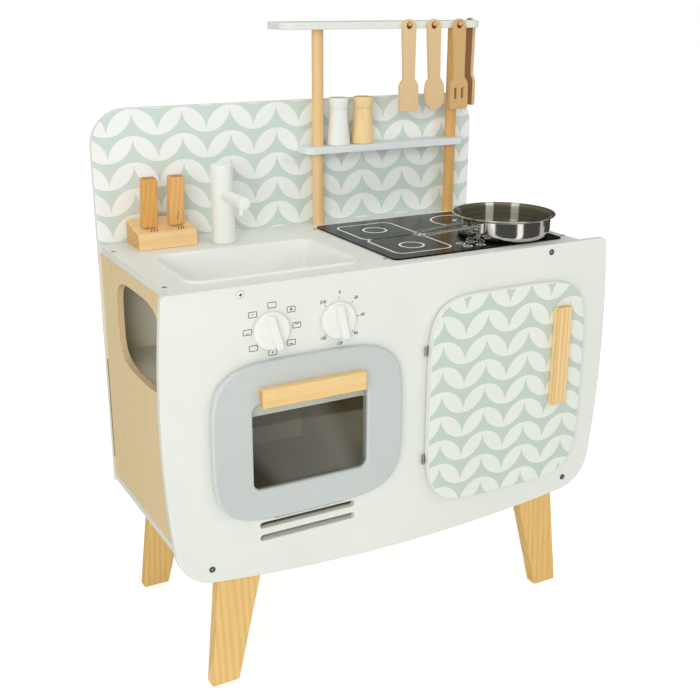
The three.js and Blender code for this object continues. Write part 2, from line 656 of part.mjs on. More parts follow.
function knives() {
  const grip = rectangle(-KNIFE.width / 2, -KNIFE.depth / 2, KNIFE.width / 2, KNIFE.depth / 2);
  const blade = rectangle(-KNIFE.blade / 2, -KNIFE.steel / 2, KNIFE.blade / 2, KNIFE.steel / 2);
  return KNIFE_AT.map((place, i) => {
    const handle = extrude(grip, KNIFE.height, KNIFE.edge);
    const strip = extrude(blade, KNIFE.reach + KNIFE.height / 2).translate(0, 0, -KNIFE.reach);
    return makeMesh(`${["left", "right"][i]}_knife`, atKnife(join([handle, strip]), place), dowelWood);
  });
}

// ---------------------------------------------------------------- shelf rack
function dowels() {
  const length = TOP_SHELF.top - SHEET + DOWEL.tenon - INNER_HIGH_Z;
  return DOWEL.x.map((x, i) => {
    const rod = makeMesh(`${["left", "right"][i]}_dowel`, cylinder(DOWEL.radius, length), dowelWood);
    rod.position.set(x, DOWEL.y, INNER_HIGH_Z);
    return rod;
  });
}

function middleShelf() {
  const shelf = MID_SHELF;
  const shape = shelfOutline(shelf.left, shelf.front, shelf.right, BACK_Y, shelf.corner, REAR_CORNER);
  for (const x of DOWEL.x) {
    shape.holes.push(circleHole(x, DOWEL.y, DOWEL.radius));
  }
  const geometry = extrude(shape, SHEET, 0, ROUND / 2).translate(0, 0, shelf.top - SHEET);
  return makeMesh("middle_shelf", geometry, shelfGrey);
}

function pegRod() {
  return cylinder(PEG.radius, PEG.inside + PEG.outside, ROUND / 2);
}

function frontPegs() {
  return PEG_X.map((x) => pegRod().rotateX(Math.PI / 2).translate(x, TOP_SHELF.front + PEG.inside, PEG_Z));
}

function endPeg() {
  return pegRod().rotateY(Math.PI / 2).translate(TOP_SHELF.right - PEG.inside, END_PEG_Y, PEG_Z);
}

function topShelf() {
  const shelf = TOP_SHELF;
  const low = shelf.top - SHEET;
  const shape = shelfOutline(shelf.left, shelf.front, shelf.right, shelf.back, shelf.corner, REAR_CORNER);
  const board = extrude(shape, SHEET, 1).translate(0, 0, low);
  const sockets = DOWEL.x.map((x) =>
    cylinder(DOWEL.radius, DOWEL.tenon + 1).translate(x, DOWEL.y, low - 1));
  return makeMesh("top_shelf", cut(board, [...sockets, ...frontPegs(), endPeg()]), white);
}

function pegs() {
  const names = ["spatula_peg", "spoon_peg", "turner_peg"];
  const pieces = frontPegs().map((geometry, i) => makeMesh(names[i], geometry, beech));
  pieces.push(makeMesh("scraper_peg", endPeg(), beech));
  return pieces;
}

// Outline of a hanging tool around its hole: rounded top, slim handle, then the head.
function toolOutline(head) {
  const low = -TOOL.length + TOOL.above;
  const shape = new THREE.Shape();
  const top = TOOL.above;
  shape.moveTo(-TOOL.grip, top - TOOL.grip);
  shape.lineTo(-TOOL.neck, -TOOL_HEAD.shoulder + TOOL.above);
  head(shape, low);
  shape.lineTo(TOOL.grip, top - TOOL.grip);
  shape.absarc(0, top - TOOL.grip, TOOL.grip, 0, Math.PI);
  shape.holes.push(circleHole(0, 0, TOOL.hole));
  return shape;
}

function bladeHead(shape, low) {
  const { half, shoulder, start, corner } = TOOL_HEAD;
  const high = TOOL.above - shoulder;
  const edge = TOOL.above - start;
  shape.quadraticCurveTo(-half, (high + edge) / 2, -half, edge);
  shape.lineTo(-half, low + corner);
  shape.quadraticCurveTo(-half, low, -half + corner, low);
  shape.lineTo(half - corner, low);
  shape.quadraticCurveTo(half, low, half, low + corner);
  shape.lineTo(half, edge);
  shape.quadraticCurveTo(half, (high + edge) / 2, TOOL.neck, high);
}

function bowlHead(shape, low) {
  const half = TOOL_HEAD.half + 0.5;
  const high = TOOL.above - TOOL_HEAD.shoulder;
  const middle = (high + low) / 2;
  shape.bezierCurveTo(-half, high - 4, -half, middle + 4, -half, middle);
  shape.bezierCurveTo(-half, low + 6, -half / 2, low, 0, low);
  shape.bezierCurveTo(half / 2, low, half, low + 6, half, middle);
  shape.bezierCurveTo(half, middle + 4, half, high - 4, TOOL.neck, high);
}

function toolGeometry(head) {
  return extrude(toolOutline(head), TOOL.thick, TOOL.edge).applyMatrix4(toXZ);
}

function slotCutters() {
  return [-1, 1].map((side) => {
    const middle = TOOL.above - (SLOT.from + SLOT.to) / 2;
    return new THREE.BoxGeometry(SLOT.width, TOOL.thick * 3, SLOT.to - SLOT.from)
      .translate(side * SLOT.pitch / 2, 0, middle);
  });
}

function hangingTools() {
  const geometries = [
    ["spatula", toolGeometry(bladeHead)],
    ["spoon", toolGeometry(bowlHead)],
    ["slotted_turner", cut(toolGeometry(bladeHead), slotCutters())],
  ];
  const y = TOP_SHELF.front - TOOL.gap;
  const z = PEG_Z - TOOL.drop;
  const pieces = geometries.map(([name, geometry], i) => {
    const mesh = makeMesh(name, geometry, beech);
    mesh.position.set(PEG_X[i], y, z);
    mesh.rotation.y = -THREE.MathUtils.degToRad(TOOL_LEAN[i]);
    return mesh;
  });
  const scraper = sideBoard("scraper", toolOutline(bladeHead), 0, TOOL.thick, beech, TOOL.edge);
  scraper.position.set(TOP_SHELF.right + END_GAP, END_PEG_Y, z);
  return [...pieces, scraper];
}

function mills() {
  const { foot, waist, head, neck, cap, height } = MILL;
  const geometry = () => turned([
    [0, 0],
    [foot - 1, 0],
    [foot, 1.5],
    [foot - 0.4, 8],
    [waist + 1, 26],
    [waist, neck - 2],
    [waist + 0.4, neck],
    [head - 0.4, cap],
    [head, cap + 5],
    [head - 1, height - 1],
    [head - 3, height],
    [0, height],
  ], ROUND);
  const finishes = [["white_mill", white], ["wooden_mill", dowelWood]];
  return finishes.map(([name, material], i) => {
    const mesh = makeMesh(name, geometry(), material);
    mesh.position.set(MILL.x[i], MILL.y, MID_SHELF.top);
    return mesh;
  });
}

// ---------------------------------------------------------------- pan
function panBody() {
  const { rim, wall, base, height, sheet } = PAN;
  const geometry = turned([
    [0, 0],
    [base - 3, 0],
    [base + 1, 1.5],
    [wall - 1, 6],
    [wall, 10],
    [wall, height - 3],
    [rim - 2, height - 1.6],
    [rim, height - 1.2],
    [rim, height - 0.2],
    [rim - 1.5, height],
    [wall + 0.5, height - 1],
    [wall - sheet, height - 3.2],
    [wall - sheet, 10.4],
    [wall - 1 - sheet, 6.6],
    [base, 2.6],
    [base - 3, sheet],
    [0, sheet],
  ], PAN_FACETS);
  return makeMesh("pan_body", geometry, steel);
}

function panHandle() {
  const { start, length, spread, tip, wire } = PAN_HANDLE;
  const end = start + length;
  const path = new THREE.CatmullRomCurve3([
    new THREE.Vector3(start, -spread, 0),
    new THREE.Vector3(start + 20, -spread, 0),
    new THREE.Vector3(start + length * 0.5, -spread * 0.85, 2),
    new THREE.Vector3(end - tip, -tip, 3),
    new THREE.Vector3(end, 0, 3),
    new THREE.Vector3(end - tip, tip, 3),
    new THREE.Vector3(start + length * 0.5, spread * 0.85, 2),
    new THREE.Vector3(start + 20, spread, 0),
    new THREE.Vector3(start, spread, 0),
  ], false, "catmullrom", 0.4);
  const section = new THREE.Shape();
  section.absarc(0, 0, wire, 0, Math.PI * 2);
  const geometry = new THREE.ExtrudeGeometry(section, {
    steps: 36, curveSegments: 4, bevelEnabled: false, extrudePath: path,
  });
  return makeMesh("pan_handle", geometry, steel);
}

function panBracket() {
  const half = BRACKET.width / 2;
  const plate = rectangle(PAN.wall - 4, -half, PAN_HANDLE.start - 0.3, half);
  const block = extrude(plate, BRACKET.height).translate(0, 0, -BRACKET.height / 2);
  const wall = cylinder(PAN.wall + 0.3, BRACKET.height * 2, PAN_FACETS).translate(0, 0, -BRACKET.height);
  const inner = rectangle(PAN.wall + BRACKET.thick, -half + BRACKET.thick, PAN_HANDLE.start + 1,
    half - BRACKET.thick);
  const pocket = extrude(inner, BRACKET.height * 2).translate(0, 0, -BRACKET.height);
  const shaped = cut(block, [wall, pocket]);
  return makeMesh("pan_bracket", shaped, steel);
}

function pan() {
  const group = new THREE.Group();
  group.name = "pan";
  group.position.set(PAN.x, PAN.y, TOP_Z + HOB.thick + PAN.lift);
  const side = new THREE.Group();
  side.name = "pan_handle_group";
  side.rotation.z = THREE.MathUtils.degToRad(PAN_HANDLE.angle);
  const handle = panHandle();
  handle.position.z = PAN_HANDLE.z;
  const bracket = panBracket();
  bracket.position.z = BRACKET.z;
  side.add(handle, bracket);
  group.add(panBody(), side);
  return group;
}

// ---------------------------------------------------------------- assembly
const kitchen = new THREE.Group();
kitchen.name = "toy_kitchen";
kitchen.add(
  worktop(), frontPanel(), backPanel(), ...cabinetBoards(), ...frontFixings(), ...legs(),
  ovenDoor(), cupboardDoor(), ...hinges(), ...knobs(),
  sinkBasin(), hobPlate(), tap(), knifeBlock(), ...knives(),
  ...dowels(), middleShelf(), topShelf(), ...pegs(), ...hangingTools(), ...mills(),
  pan(),
);

export default kitchen;
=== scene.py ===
"""Looks of the toy kitchen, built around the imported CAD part. Lengths are metres and angles degrees."""
import math

import bmesh
import bpy
from mathutils import Matrix, Vector


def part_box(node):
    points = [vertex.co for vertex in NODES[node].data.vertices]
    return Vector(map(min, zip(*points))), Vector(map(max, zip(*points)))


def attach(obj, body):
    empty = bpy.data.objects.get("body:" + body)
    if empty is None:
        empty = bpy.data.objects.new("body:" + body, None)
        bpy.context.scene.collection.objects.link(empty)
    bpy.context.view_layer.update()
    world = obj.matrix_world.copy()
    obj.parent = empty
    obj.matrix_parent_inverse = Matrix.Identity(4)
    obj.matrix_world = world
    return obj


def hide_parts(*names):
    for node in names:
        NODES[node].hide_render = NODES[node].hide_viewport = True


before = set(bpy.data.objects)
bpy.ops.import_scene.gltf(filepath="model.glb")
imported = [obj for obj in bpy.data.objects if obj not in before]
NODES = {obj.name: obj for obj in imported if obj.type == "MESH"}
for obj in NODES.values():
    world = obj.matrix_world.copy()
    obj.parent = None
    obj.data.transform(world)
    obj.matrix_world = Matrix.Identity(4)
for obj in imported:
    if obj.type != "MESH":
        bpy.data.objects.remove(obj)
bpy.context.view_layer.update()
SIDES = ("left", "right")
FRONT_Y = -0.1255          # outer face of the front panel
SPOUT_Z = 0.5495           # axis of the tap's spout
TOOL_HOLE = 0.0045         # radius of the hole that a utensil hangs by
TOOL_ABOVE = 0.008         # from that hole's centre to the utensil's top
TOOL_DROP = 0.00155        # how far the hole's centre hangs below the peg's
FLOOR_REACH = 30.0
SCENE = bpy.context.scene
COLLECTION = SCENE.collection


# ---------------------------------------------------------------- shader graph helper
class Graph:
    """Short ways to add and link the nodes of a new material, or of a tree that is there already."""

    def __init__(self, name, tree=None):
        if tree is None:
            self.material = bpy.data.materials.new(name)
            self.material.use_nodes = True
            tree = self.material.node_tree
            tree.nodes.clear()
        self.tree = tree

    def put(self, socket, value):
        if isinstance(value, bpy.types.NodeSocket):
            self.tree.links.new(value, socket)
        else:
            socket.default_value = value

    def node(self, kind, inputs=None, **settings):
        made = self.tree.nodes.new("ShaderNode" + kind)
        for key, value in settings.items():
            setattr(made, key, value)
        for key, value in (inputs or {}).items():
            self.put(made.inputs[key], value)
        return made

    def math(self, operation, a, b=0.0, c=0.0, clamp=False):
        made = self.node("Math", {0: a, 1: b, 2: c}, operation=operation, use_clamp=clamp)
        return made.outputs[0]

    def plus(self, a, b):
        return self.math("ADD", a, b)

    def minus(self, a, b):
        return self.math("SUBTRACT", a, b)

    def times(self, a, b, clamp=False):
        return self.math("MULTIPLY", a, b, clamp=clamp)

    def xyz(self, at):
        return self.node("SeparateXYZ", {0: at}).outputs

    def vector(self, operation, a, b=(0, 0, 0)):
        made = self.node("VectorMath", {0: a, 1: b}, operation=operation)
        return made.outputs["Value" if operation == "DOT_PRODUCT" else "Vector"]

    def remap(self, value, low, high, to_low=0.0, to_high=1.0, smooth=False):
        kind = "SMOOTHSTEP" if smooth else "LINEAR"
        made = self.node("MapRange", {0: value, 1: low, 2: high, 3: to_low, 4: to_high},
                         interpolation_type=kind)
        return made.outputs[0]

    def mix(self, factor, a, b, blend="MIX"):
        made = self.node("Mix", {0: factor, 6: a, 7: b}, data_type="RGBA", blend_type=blend)
        return made.outputs[2]

    def noise(self, where, scale, detail=2.0, rough=0.5, distortion=0.0):
        made = self.node("TexNoise", {"Vector": where, "Scale": scale, "Detail": detail,
                                                "Roughness": rough, "Distortion": distortion})
        return made.outputs["Fac"]

    def place(self, stretch=(1, 1, 1), seeded=True):
        """Object coordinates in metres, stretched, and shifted by the piece's own random number."""
        at = self.node("TexCoord").outputs["Object"]
        if seeded:
            seed = self.node("ObjectInfo").outputs["Random"]
            shift = self.node("CombineXYZ", {
                i: self.times(seed, by) for i, by in enumerate((7.0, 3.0, 5.0))}).outputs[0]
            at = self.vector("ADD", at, shift)
        return self.vector("MULTIPLY", at, stretch)

    def bump(self, height, distance, strength=1.0, before=None):
        inputs = {"Height": height, "Distance": distance, "Strength": strength}
        if before is not None:
            inputs["Normal"] = before
        return self.node("Bump", inputs).outputs[0]

    def edges(self, radius):
        """Near 1 along edges and corners, 0 on open faces."""
        rounded = self.node("Bevel", {"Radius": radius}, samples=4).outputs[0]
        true = self.node("NewGeometry").outputs["Normal"]
        return self.remap(self.vector("DOT_PRODUCT", rounded, true), 0.995, 0.8)

    def surface(self, **inputs):
        shader = self.node("BsdfPrincipled")
        for key, value in inputs.items():
            self.put(shader.inputs[key.replace("_", " ")], value)
        self.node("OutputMaterial", {"Surface": shader.outputs[0]})
        return self.material


def rgb(r, g, b):
    """A colour from the 0 to 255 values that it shows as."""
    linear = [c / 255 / 12.92 if c <= 10 else ((c / 255 + 0.055) / 1.055) ** 2.4 for c in (r, g, b)]
    return (*linear, 1.0)


def shade(colour, by):
    return (*[min(1.0, c * by) for c in colour[:3]], 1.0)


# ---------------------------------------------------------------- materials
def lacquered(g, colour, roughness, soil=0.86, peel=0.00006):
    """Sprayed lacquer: faint clouding, orange peel, rubbed and soiled edges, a few hair scratches."""
    at = g.place()
    cloud = g.noise(at, 9.0, 3.0)
    speck = g.noise(at, 260.0, 2.0)
    worn = g.times(g.edges(0.0022), g.remap(g.noise(at, 60.0, 3.0), 0.3, 0.75), clamp=True)
    tinted = g.mix(g.remap(cloud, 0.3, 0.7), g.mix(1.0, colour, (0.965, 0.965, 0.955, 1), "MULTIPLY"), colour)
    tinted = g.mix(g.remap(speck, 0.62, 0.8, 0.0, 0.05), tinted, (0.35, 0.33, 0.28, 1))
    soiled = g.mix(1.0, tinted, (soil, soil, soil * 0.97, 1), "MULTIPLY")
    final = g.mix(g.times(worn, 0.8), tinted, soiled)
    scratch = g.noise(g.place((260, 14, 40)), 3.0, 2.0, 0.6, 0.4)
    rough = g.plus(g.remap(g.noise(at, 34.0, 3.0), 0.3, 0.7, roughness - 0.05, roughness + 0.05),
                   g.remap(scratch, 0.66, 0.74, 0.0, 0.06))
    skin = g.bump(g.noise(at, 420.0, 2.0), peel, 0.5)
    wave = g.bump(g.noise(at, 24.0, 1.0), 0.0004, 0.18, skin)
    return g.surface(Base_Color=final, Roughness=rough, Normal=wave, Specular_IOR_Level=0.45)


def lacquer(name, colour, roughness=0.4, soil=0.86):
    return lacquered(Graph(name), colour, roughness, soil)


def inside_with_painted_shade(g):
    """Warm off-white of the hidden faces, with painted shade: greyer in the oven, and a brown painted shadow
    under a sloping line where its roof would shade it.
    """
    x, y, z = g.xyz(g.place(seeded=False))
    # Painted shadow of the oven's roof, below a sloping line on its back wall and partition.
    shaded = g.remap(g.plus(z, g.times(y, 0.44)), 0.2622, 0.2652)
    oven = g.mix(shaded, OVEN_INSIDE_PAINTED_SHADE, OVEN_SHADE)
    oven = g.mix(g.remap(x, -0.0115, -0.0105), oven, INSIDE)
    return g.mix(g.remap(z, OVEN_ROOF, OVEN_ROOF + 0.001), oven, INSIDE)


def leaf_print(name, ground, leaf, crest_x, crest_z, plain=None, half=0.032, rise=0.0319):
    """Waves of pointed leaves that lean left and right in turn, under the lacquer. Below the height plain the
    board is left unprinted and takes the inside colour, with its painted shade in the oven."""
    g = Graph(name)
    x, _, z = g.xyz(g.place(seeded=False))
    across = g.math("DIVIDE", g.minus(x, crest_x - half), half)
    t = g.math("PINGPONG", across, 1.0)
    up = g.math("DIVIDE", g.minus(z, crest_z - 20 * rise), rise)
    s = g.math("FRACT", up)

    def arc(a, b):
        squares = g.plus(g.math("POWER", a, 2.0), g.math("POWER", b, 2.0))
        return g.minus(1.012, g.math("SQRT", squares))

    first = arc(g.minus(1.0, t), s)
    second = arc(t, g.minus(1.0, s))
    inside = g.remap(g.math("MINIMUM", first, second), -0.008, 0.012, smooth=True)
    at = g.place()
    ground_here = g.mix(g.noise(at, 14.0, 3.0), shade(ground, 0.97), shade(ground, 1.03))
    dots = g.remap(g.noise(at, 700.0, 1.0), 0.4, 0.8, 0.0, 0.10)
    inked = g.mix(dots, ground_here, leaf)
    printed = g.mix(inside, inked, leaf)
    if plain:
        # The unprinted part takes the inside colour with its painted shade.
        printed = g.mix(g.remap(z, plain, plain + 0.0005), inside_with_painted_shade(g), printed)
    return lacquered(g, printed, 0.42, 0.88)


def wood(name, colour, dark, axis="Z", band=70.0, fibre=520.0, contrast=0.55, roughness=0.5, pores=0.0,
         twist=3.0, bump=0.00018):
    """Clear lacquered timber with growth bands, fibres and pores along one axis."""
    g = Graph(name)
    slow = {"X": (0.05, 1, 1), "Y": (1, 0.05, 1), "Z": (1, 1, 0.05)}[axis]
    long = tuple(0.022 if s < 1 else 1 for s in slow)
    at = g.place(slow)
    warp = g.noise(at, 18.0, 2.0)
    side = g.xyz(at)
    other = [side[i] for i in "XYZ" if i != axis]
    across = g.plus(other[0], g.times(other[1], 0.72))
    rings = g.math("SINE", g.plus(g.times(across, band * 2 * math.pi),
                                  g.times(warp, twist * 4)))
    rings = g.remap(rings, -0.4, 1.0, smooth=True)
    flow = g.noise(at, band * 1.6, 4.0, 0.6, 0.6)
    fibres = g.noise(g.place(long), fibre, 3.0, 0.65)
    bands = g.plus(g.times(rings, 0.45), g.times(flow, 0.75))
    tone = g.mix(g.remap(bands, 0.25, 1.0, 0.0, contrast), colour, dark)
    tone = g.mix(g.remap(fibres, 0.42, 0.75, 0.0, 0.35 * contrast + 0.06), tone, shade(dark, 0.8))
    height = g.minus(g.times(fibres, -0.6), g.times(rings, 0.25))
    if pores:
        pore = g.noise(g.place(tuple(0.06 if s < 1 else 1 for s in slow)), 1500.0, 1.0, 0.4)
        pit = g.remap(pore, 0.64, 0.72)
        tone = g.mix(g.times(pit, pores), tone, shade(dark, 0.45))
        height = g.minus(height, g.times(pit, 0.6))
    seed = g.node("ObjectInfo").outputs["Random"]
    hue = g.node("HueSaturation", {
        "Hue": g.remap(seed, 0.0, 1.0, 0.495, 0.504), "Saturation": g.remap(seed, 1.0, 0.0, 0.94, 1.05),
        "Value": g.remap(seed, 0.0, 1.0, 0.96, 1.04), "Color": tone}).outputs[0]
    worn = g.times(g.edges(0.0016), g.remap(g.noise(g.place(), 90.0, 2.0), 0.25, 0.7), clamp=True)
    final = g.mix(g.times(worn, 0.35), hue, shade(dark, 0.62))
    rough = g.remap(g.plus(fibres, g.times(rings, 0.3)), 0.3, 1.0,
                    roughness - 0.07, roughness + 0.1)
    return g.surface(Base_Color=final, Roughness=rough, Normal=g.bump(height, bump, 0.6),
                     Specular_IOR_Level=0.42, Coat_Weight=0.12, Coat_Roughness=0.25)


def end_grain(name, colour, dark):
    """Cut ends of a timber piece: darker, with growth rings and open pores."""
    g = Graph(name)
    at = g.place()
    rings = g.node("TexWave", {"Vector": at, "Scale": 60.0, "Distortion": 3.0, "Detail": 2.0},
                   wave_type="RINGS", rings_direction="SPHERICAL").outputs["Fac"]
    pores = g.noise(at, 1600.0, 1.0)
    tone = g.mix(g.times(rings, 0.35), colour, dark)
    tone = g.mix(g.remap(pores, 0.55, 0.7, 0.0, 0.3), tone, shade(dark, 0.6))
    return g.surface(Base_Color=tone, Roughness=g.remap(pores, 0.3, 0.7, 0.55, 0.7),
                     Normal=g.bump(pores, 0.0002, 0.5), Specular_IOR_Level=0.35)


def veneer(name, colour, dark):
    """Pale flat-cut ply face: soft vertical figure and fine pores."""
    return wood(name, colour, dark, "Z", 30.0, 900.0, 0.22, 0.55, 0.2, 2.0, 0.0001)


def ply_edge(name):
    """The layers that show on the cut edges of plywood."""
    g = Graph(name)
    at = g.place()
    x = g.xyz(g.place(seeded=False))[0]
    layers = g.remap(g.math("SINE", g.times(x, 2 * math.pi / 0.003)), -0.3, 0.3, smooth=True)
    tone = g.mix(layers, rgb(242, 216, 174), rgb(228, 198, 152))
    tone = g.mix(g.remap(g.noise(at, 700.0, 2.0), 0.4, 0.8, 0.0, 0.3), tone, rgb(164, 128, 84))
    return g.surface(Base_Color=tone, Roughness=g.remap(g.noise(at, 300.0), 0.3, 0.7, 0.55, 0.7),
                     Normal=g.bump(g.noise(at, 900.0, 2.0), 0.0002, 0.5))


def moulded(name, colour, roughness=0.35, grain=0.00008, scale=900.0):
    """Injection moulded plastic with a fine spark-eroded grain and slight handling marks."""
    g = Graph(name)
    at = g.place()
    cloud = g.noise(at, 16.0, 2.0)
    worn = g.times(g.edges(0.0012), 0.35)
    tone = g.mix(g.remap(cloud, 0.3, 0.7), shade(colour, 0.975), colour)
    tone = g.mix(worn, tone, shade(colour, 0.82))
    rough = g.remap(g.noise(at, 50.0, 3.0), 0.3, 0.7, roughness - 0.05, roughness + 0.07)
    return g.surface(Base_Color=tone, Roughness=rough, Normal=g.bump(g.noise(at, scale, 2.0), grain, 0.5),
                     Specular_IOR_Level=0.5)


def metal(name, colour, roughness, stretch=(1, 1, 60), scale=300.0, marks=0.06, solid=1.0):
    """Metal with fine brushing along one direction and smears in its polish that darken its colour in places.
    """
    g = Graph(name)
    lines = g.noise(g.place(stretch), scale / max(stretch), 3.0, 0.6)
    smear = g.noise(g.place(), 28.0, 3.0)
    tone = g.mix(g.remap(smear, 0.3, 0.75, 0.0, 0.5), colour, shade(colour, 0.86))
    rough = g.plus(g.remap(lines, 0.3, 0.7, roughness - 0.03, roughness + 0.03),
                   g.remap(smear, 0.45, 0.8, 0.0, marks))
    return g.surface(Base_Color=tone, Metallic=solid, Roughness=rough, Normal=g.bump(lines, 0.00002, 0.4))


# Middle, half width and strength, by direction round the axis.
# The pan's rows are reflections painted into the colour of its lining.
PAINTED_PAN_REFLECTIONS = ((71, 5, 1.0), (38, 5, 0.8), (128, 5, 0.3), (-60, 9, 0.6), (-120, 9, 0.8))
SOFTBOXES = ((-152, 11, 1.1), (-79, 6.5, 1.1), (-19, 5, 0.5), (172, 6, 0.5))


def streaks_round(g, angle, rows, core, base=0.0):
    """Adds up soft-edged streaks at an angle in radians. core is the full-strength share of the half width."""
    total = base
    for middle, half, strength in rows:
        off = g.math("ABSOLUTE", g.minus(angle, math.radians(middle)))
        total = g.plus(total, g.remap(off, math.radians(half * core), math.radians(half * 1.3), strength, 0.0,
                                      smooth=True))
    return total


def studio_strips(g, angle):
    """What polished metal sees all round: dark walls with a few tall softboxes."""
    return streaks_round(g, angle, SOFTBOXES, 0.8, 0.05)


def painted_reflection_lining(name):
    """Inside of the pan, brushed round its axis: its colour holds painted reflections, tall bright streaks by
    direction round the axis with painted dark steel between.
    """
    g = Graph(name)
    low, high, mid = span("pan_body")
    x, y, z = g.xyz(g.place(seeded=False))
    turn = g.math("ARCTAN2", g.minus(y, mid.y), g.minus(x, mid.x))
    # Painted reflections: bright streaks by direction round the axis, weaker lower down, over painted dark
    # steel.
    streaks = streaks_round(g, turn, PAINTED_PAN_REFLECTIONS, 0.75)
    fade = g.remap(g.plus(z, g.times(g.noise(g.place((60, 60, 1)), 4.0, 2.0), 0.004)),
                   low.z + 0.004, high.z, 0.75, 1.0)
    ring = g.noise(g.place((1, 1, 60)), 5.0, 3.0, 0.6)
    painted_dark_steel = g.mix(ring, rgb(92, 86, 68), rgb(124, 117, 98))
    tone = g.mix(g.times(streaks, fade), painted_dark_steel, rgb(236, 234, 224))
    return g.surface(Base_Color=tone, Metallic=0.35, Roughness=g.remap(ring, 0.3, 0.7, 0.24, 0.36),
                     Normal=g.bump(ring, 0.00002, 0.4), Specular_IOR_Level=0.3)


def hob_gloss(name):
    """Glossy charcoal film with a fine fleck, faint dust and wiping marks."""
    g = Graph(name)
    at = g.place()
    fleck = g.remap(g.noise(at, 1400.0, 1.0), 0.6, 0.75)
    tone = g.mix(g.times(fleck, 0.3), rgb(22, 22, 19), rgb(42, 42, 37))
    tone = g.mix(g.remap(g.noise(at, 12.0, 3.0), 0.35, 0.75, 0.0, 0.25), tone, rgb(34, 33, 29))
    wiped = g.noise(g.place((20, 140, 20)), 1.0, 3.0)
    return g.surface(Base_Color=tone, Roughness=g.remap(wiped, 0.3, 0.75, 0.14, 0.26),
                     Normal=g.bump(g.noise(at, 60.0, 2.0), 0.00012, 0.25), Specular_IOR_Level=0.12)


def ink(name, colour, roughness=0.5):
    """Screen printed ink with a slightly broken edge of tone."""
    g = Graph(name)
    at = g.place()
    tone = g.mix(g.remap(g.noise(at, 1500.0, 2.0), 0.45, 0.8, 0.0, 0.35), colour, shade(colour, 1.5))
    return g.surface(Base_Color=tone, Roughness=g.remap(g.noise(at, 200.0), 0.3, 0.7, roughness - 0.05,
                                                        roughness + 0.05),
                     Normal=g.bump(g.noise(at, 1200.0), 0.00003, 0.4))


# Lacquer of the hidden faces, with painted shade in the oven.
def inside_lacquer(name):
    g = Graph(name)
    return lacquered(g, inside_with_painted_shade(g), 0.5, 0.9)


def pane(name, tint):
    """Thin clear acrylic: what is behind shows through it, under a fresnel gloss with faint wiping marks."""
    g = Graph(name)
    haze = g.noise(g.place((30, 30, 8)), 1.0, 3.0)
    shadow = g.node("LightPath").outputs["Is Shadow Ray"]
    through = g.node("BsdfTransparent", {"Color": g.mix(shadow, tint, (1, 1, 1, 1))}).outputs[0]
    gloss = g.node("BsdfGlossy", {"Color": (1, 1, 1, 1),
                                            "Roughness": g.remap(haze, 0.3, 0.8, 0.03, 0.12)}).outputs[0]
    facing = g.node("Fresnel", {"IOR": 1.49}).outputs[0]
    both = g.node("MixShader", {0: g.times(facing, 0.55, clamp=True), 1: through, 2: gloss})
    g.node("OutputMaterial", {"Surface": both.outputs[0]})
    return g.material


WHITE = rgb(238, 240, 232)
SAGE = rgb(203, 217, 206)
LEAF = rgb(239, 243, 234)
# The back panel's print colours are lighter copies of the door print's: painted light.
BACK_LEAF_PAINTED_LIGHT = rgb(250, 253, 250)
BACK_SAGE_PAINTED_LIGHT = rgb(212, 227, 219)
INSIDE = rgb(236, 230, 212)
# Painted shade inside the oven: greyer overall, and brown where its roof shades it.
OVEN_INSIDE_PAINTED_SHADE = rgb(226, 222, 198)
OVEN_SHADE = rgb(158, 144, 112)
OVEN_ROOF = 0.342
white = lacquer("white_lacquer", WHITE)
mill_white = lacquer("mill_white_gloss", rgb(246, 248, 242), 0.26, 0.6)
# The hidden faces' lacquer, with painted shade in the oven.
white_inside_painted_shade = inside_lacquer("white_inside_painted_shade")
# Brown painted shadow for the underside of the oven's roof.
roof_painted_shadow = lacquer("oven_ceiling_painted_shadow", rgb(132, 122, 98), 0.5, 0.9)
pale_grey = lacquer("pale_grey_lacquer", rgb(203, 209, 206), 0.4, 0.9)
# A lighter copy of the door's grey: painted highlight for the oven door's left edge.
door_edge_painted_highlight = lacquer("pale_grey_painted_highlight", rgb(212, 219, 220), 0.4, 0.9)
shelf_grey = lacquer("shelf_grey_lacquer", rgb(234, 241, 242), 0.4, 0.9)
door_print = leaf_print("door_print", SAGE, LEAF, 0.1089, 0.4225)
back_print_painted_light_and_shade = leaf_print("back_print_painted_light_and_shade", BACK_SAGE_PAINTED_LIGHT, BACK_LEAF_PAINTED_LIGHT, -0.1095, 0.6514, 0.4885)
side_veneer = veneer("side_veneer", rgb(239, 214, 166), rgb(222, 192, 140))
side_edge = ply_edge("side_ply_edge")
pine = wood("leg_pine", rgb(243, 201, 124), rgb(221, 166, 86), "Z", 120.0, 520.0, 0.6)
pine_block = wood("block_pine", rgb(232, 196, 130), rgb(196, 146, 76), "X", 90.0, 420.0, 0.6)
honey_x = wood("honey_along_x", rgb(253, 220, 158), rgb(238, 194, 122), "X", 70.0, 600.0, 0.5, pores=0.12)
honey_z = wood("honey_along_z", rgb(250, 216, 156), rgb(226, 174, 100), "Z", 150.0, 600.0, 0.75)
block_wood = wood("knife_block_wood", rgb(252, 218, 160), rgb(234, 188, 122), "X", 60.0, 600.0, 0.5,
                  pores=0.12)
dowel_wood = wood("dowel_wood", rgb(248, 212, 156), rgb(226, 178, 112), "Z", 170.0, 700.0, 0.5)
# A darker copy of the dowel wood: painted shade for the right post.
right_dowel_painted_shade = wood("right_dowel_painted_shade_wood", rgb(236, 184, 110), rgb(204, 144, 72), "Z", 170.0, 700.0, 0.5)
knife_wood = wood("knife_wood", rgb(234, 182, 106), rgb(204, 142, 66), "Z", 160.0, 600.0, 0.5)
mill_wood = wood("mill_wood", rgb(253, 220, 162), rgb(230, 180, 110), "Z", 200.0, 700.0, 0.35, 0.3)
beech = wood("beech", rgb(236, 203, 154), rgb(218, 178, 124), "Z", 220.0, 900.0, 0.22, pores=0.1)
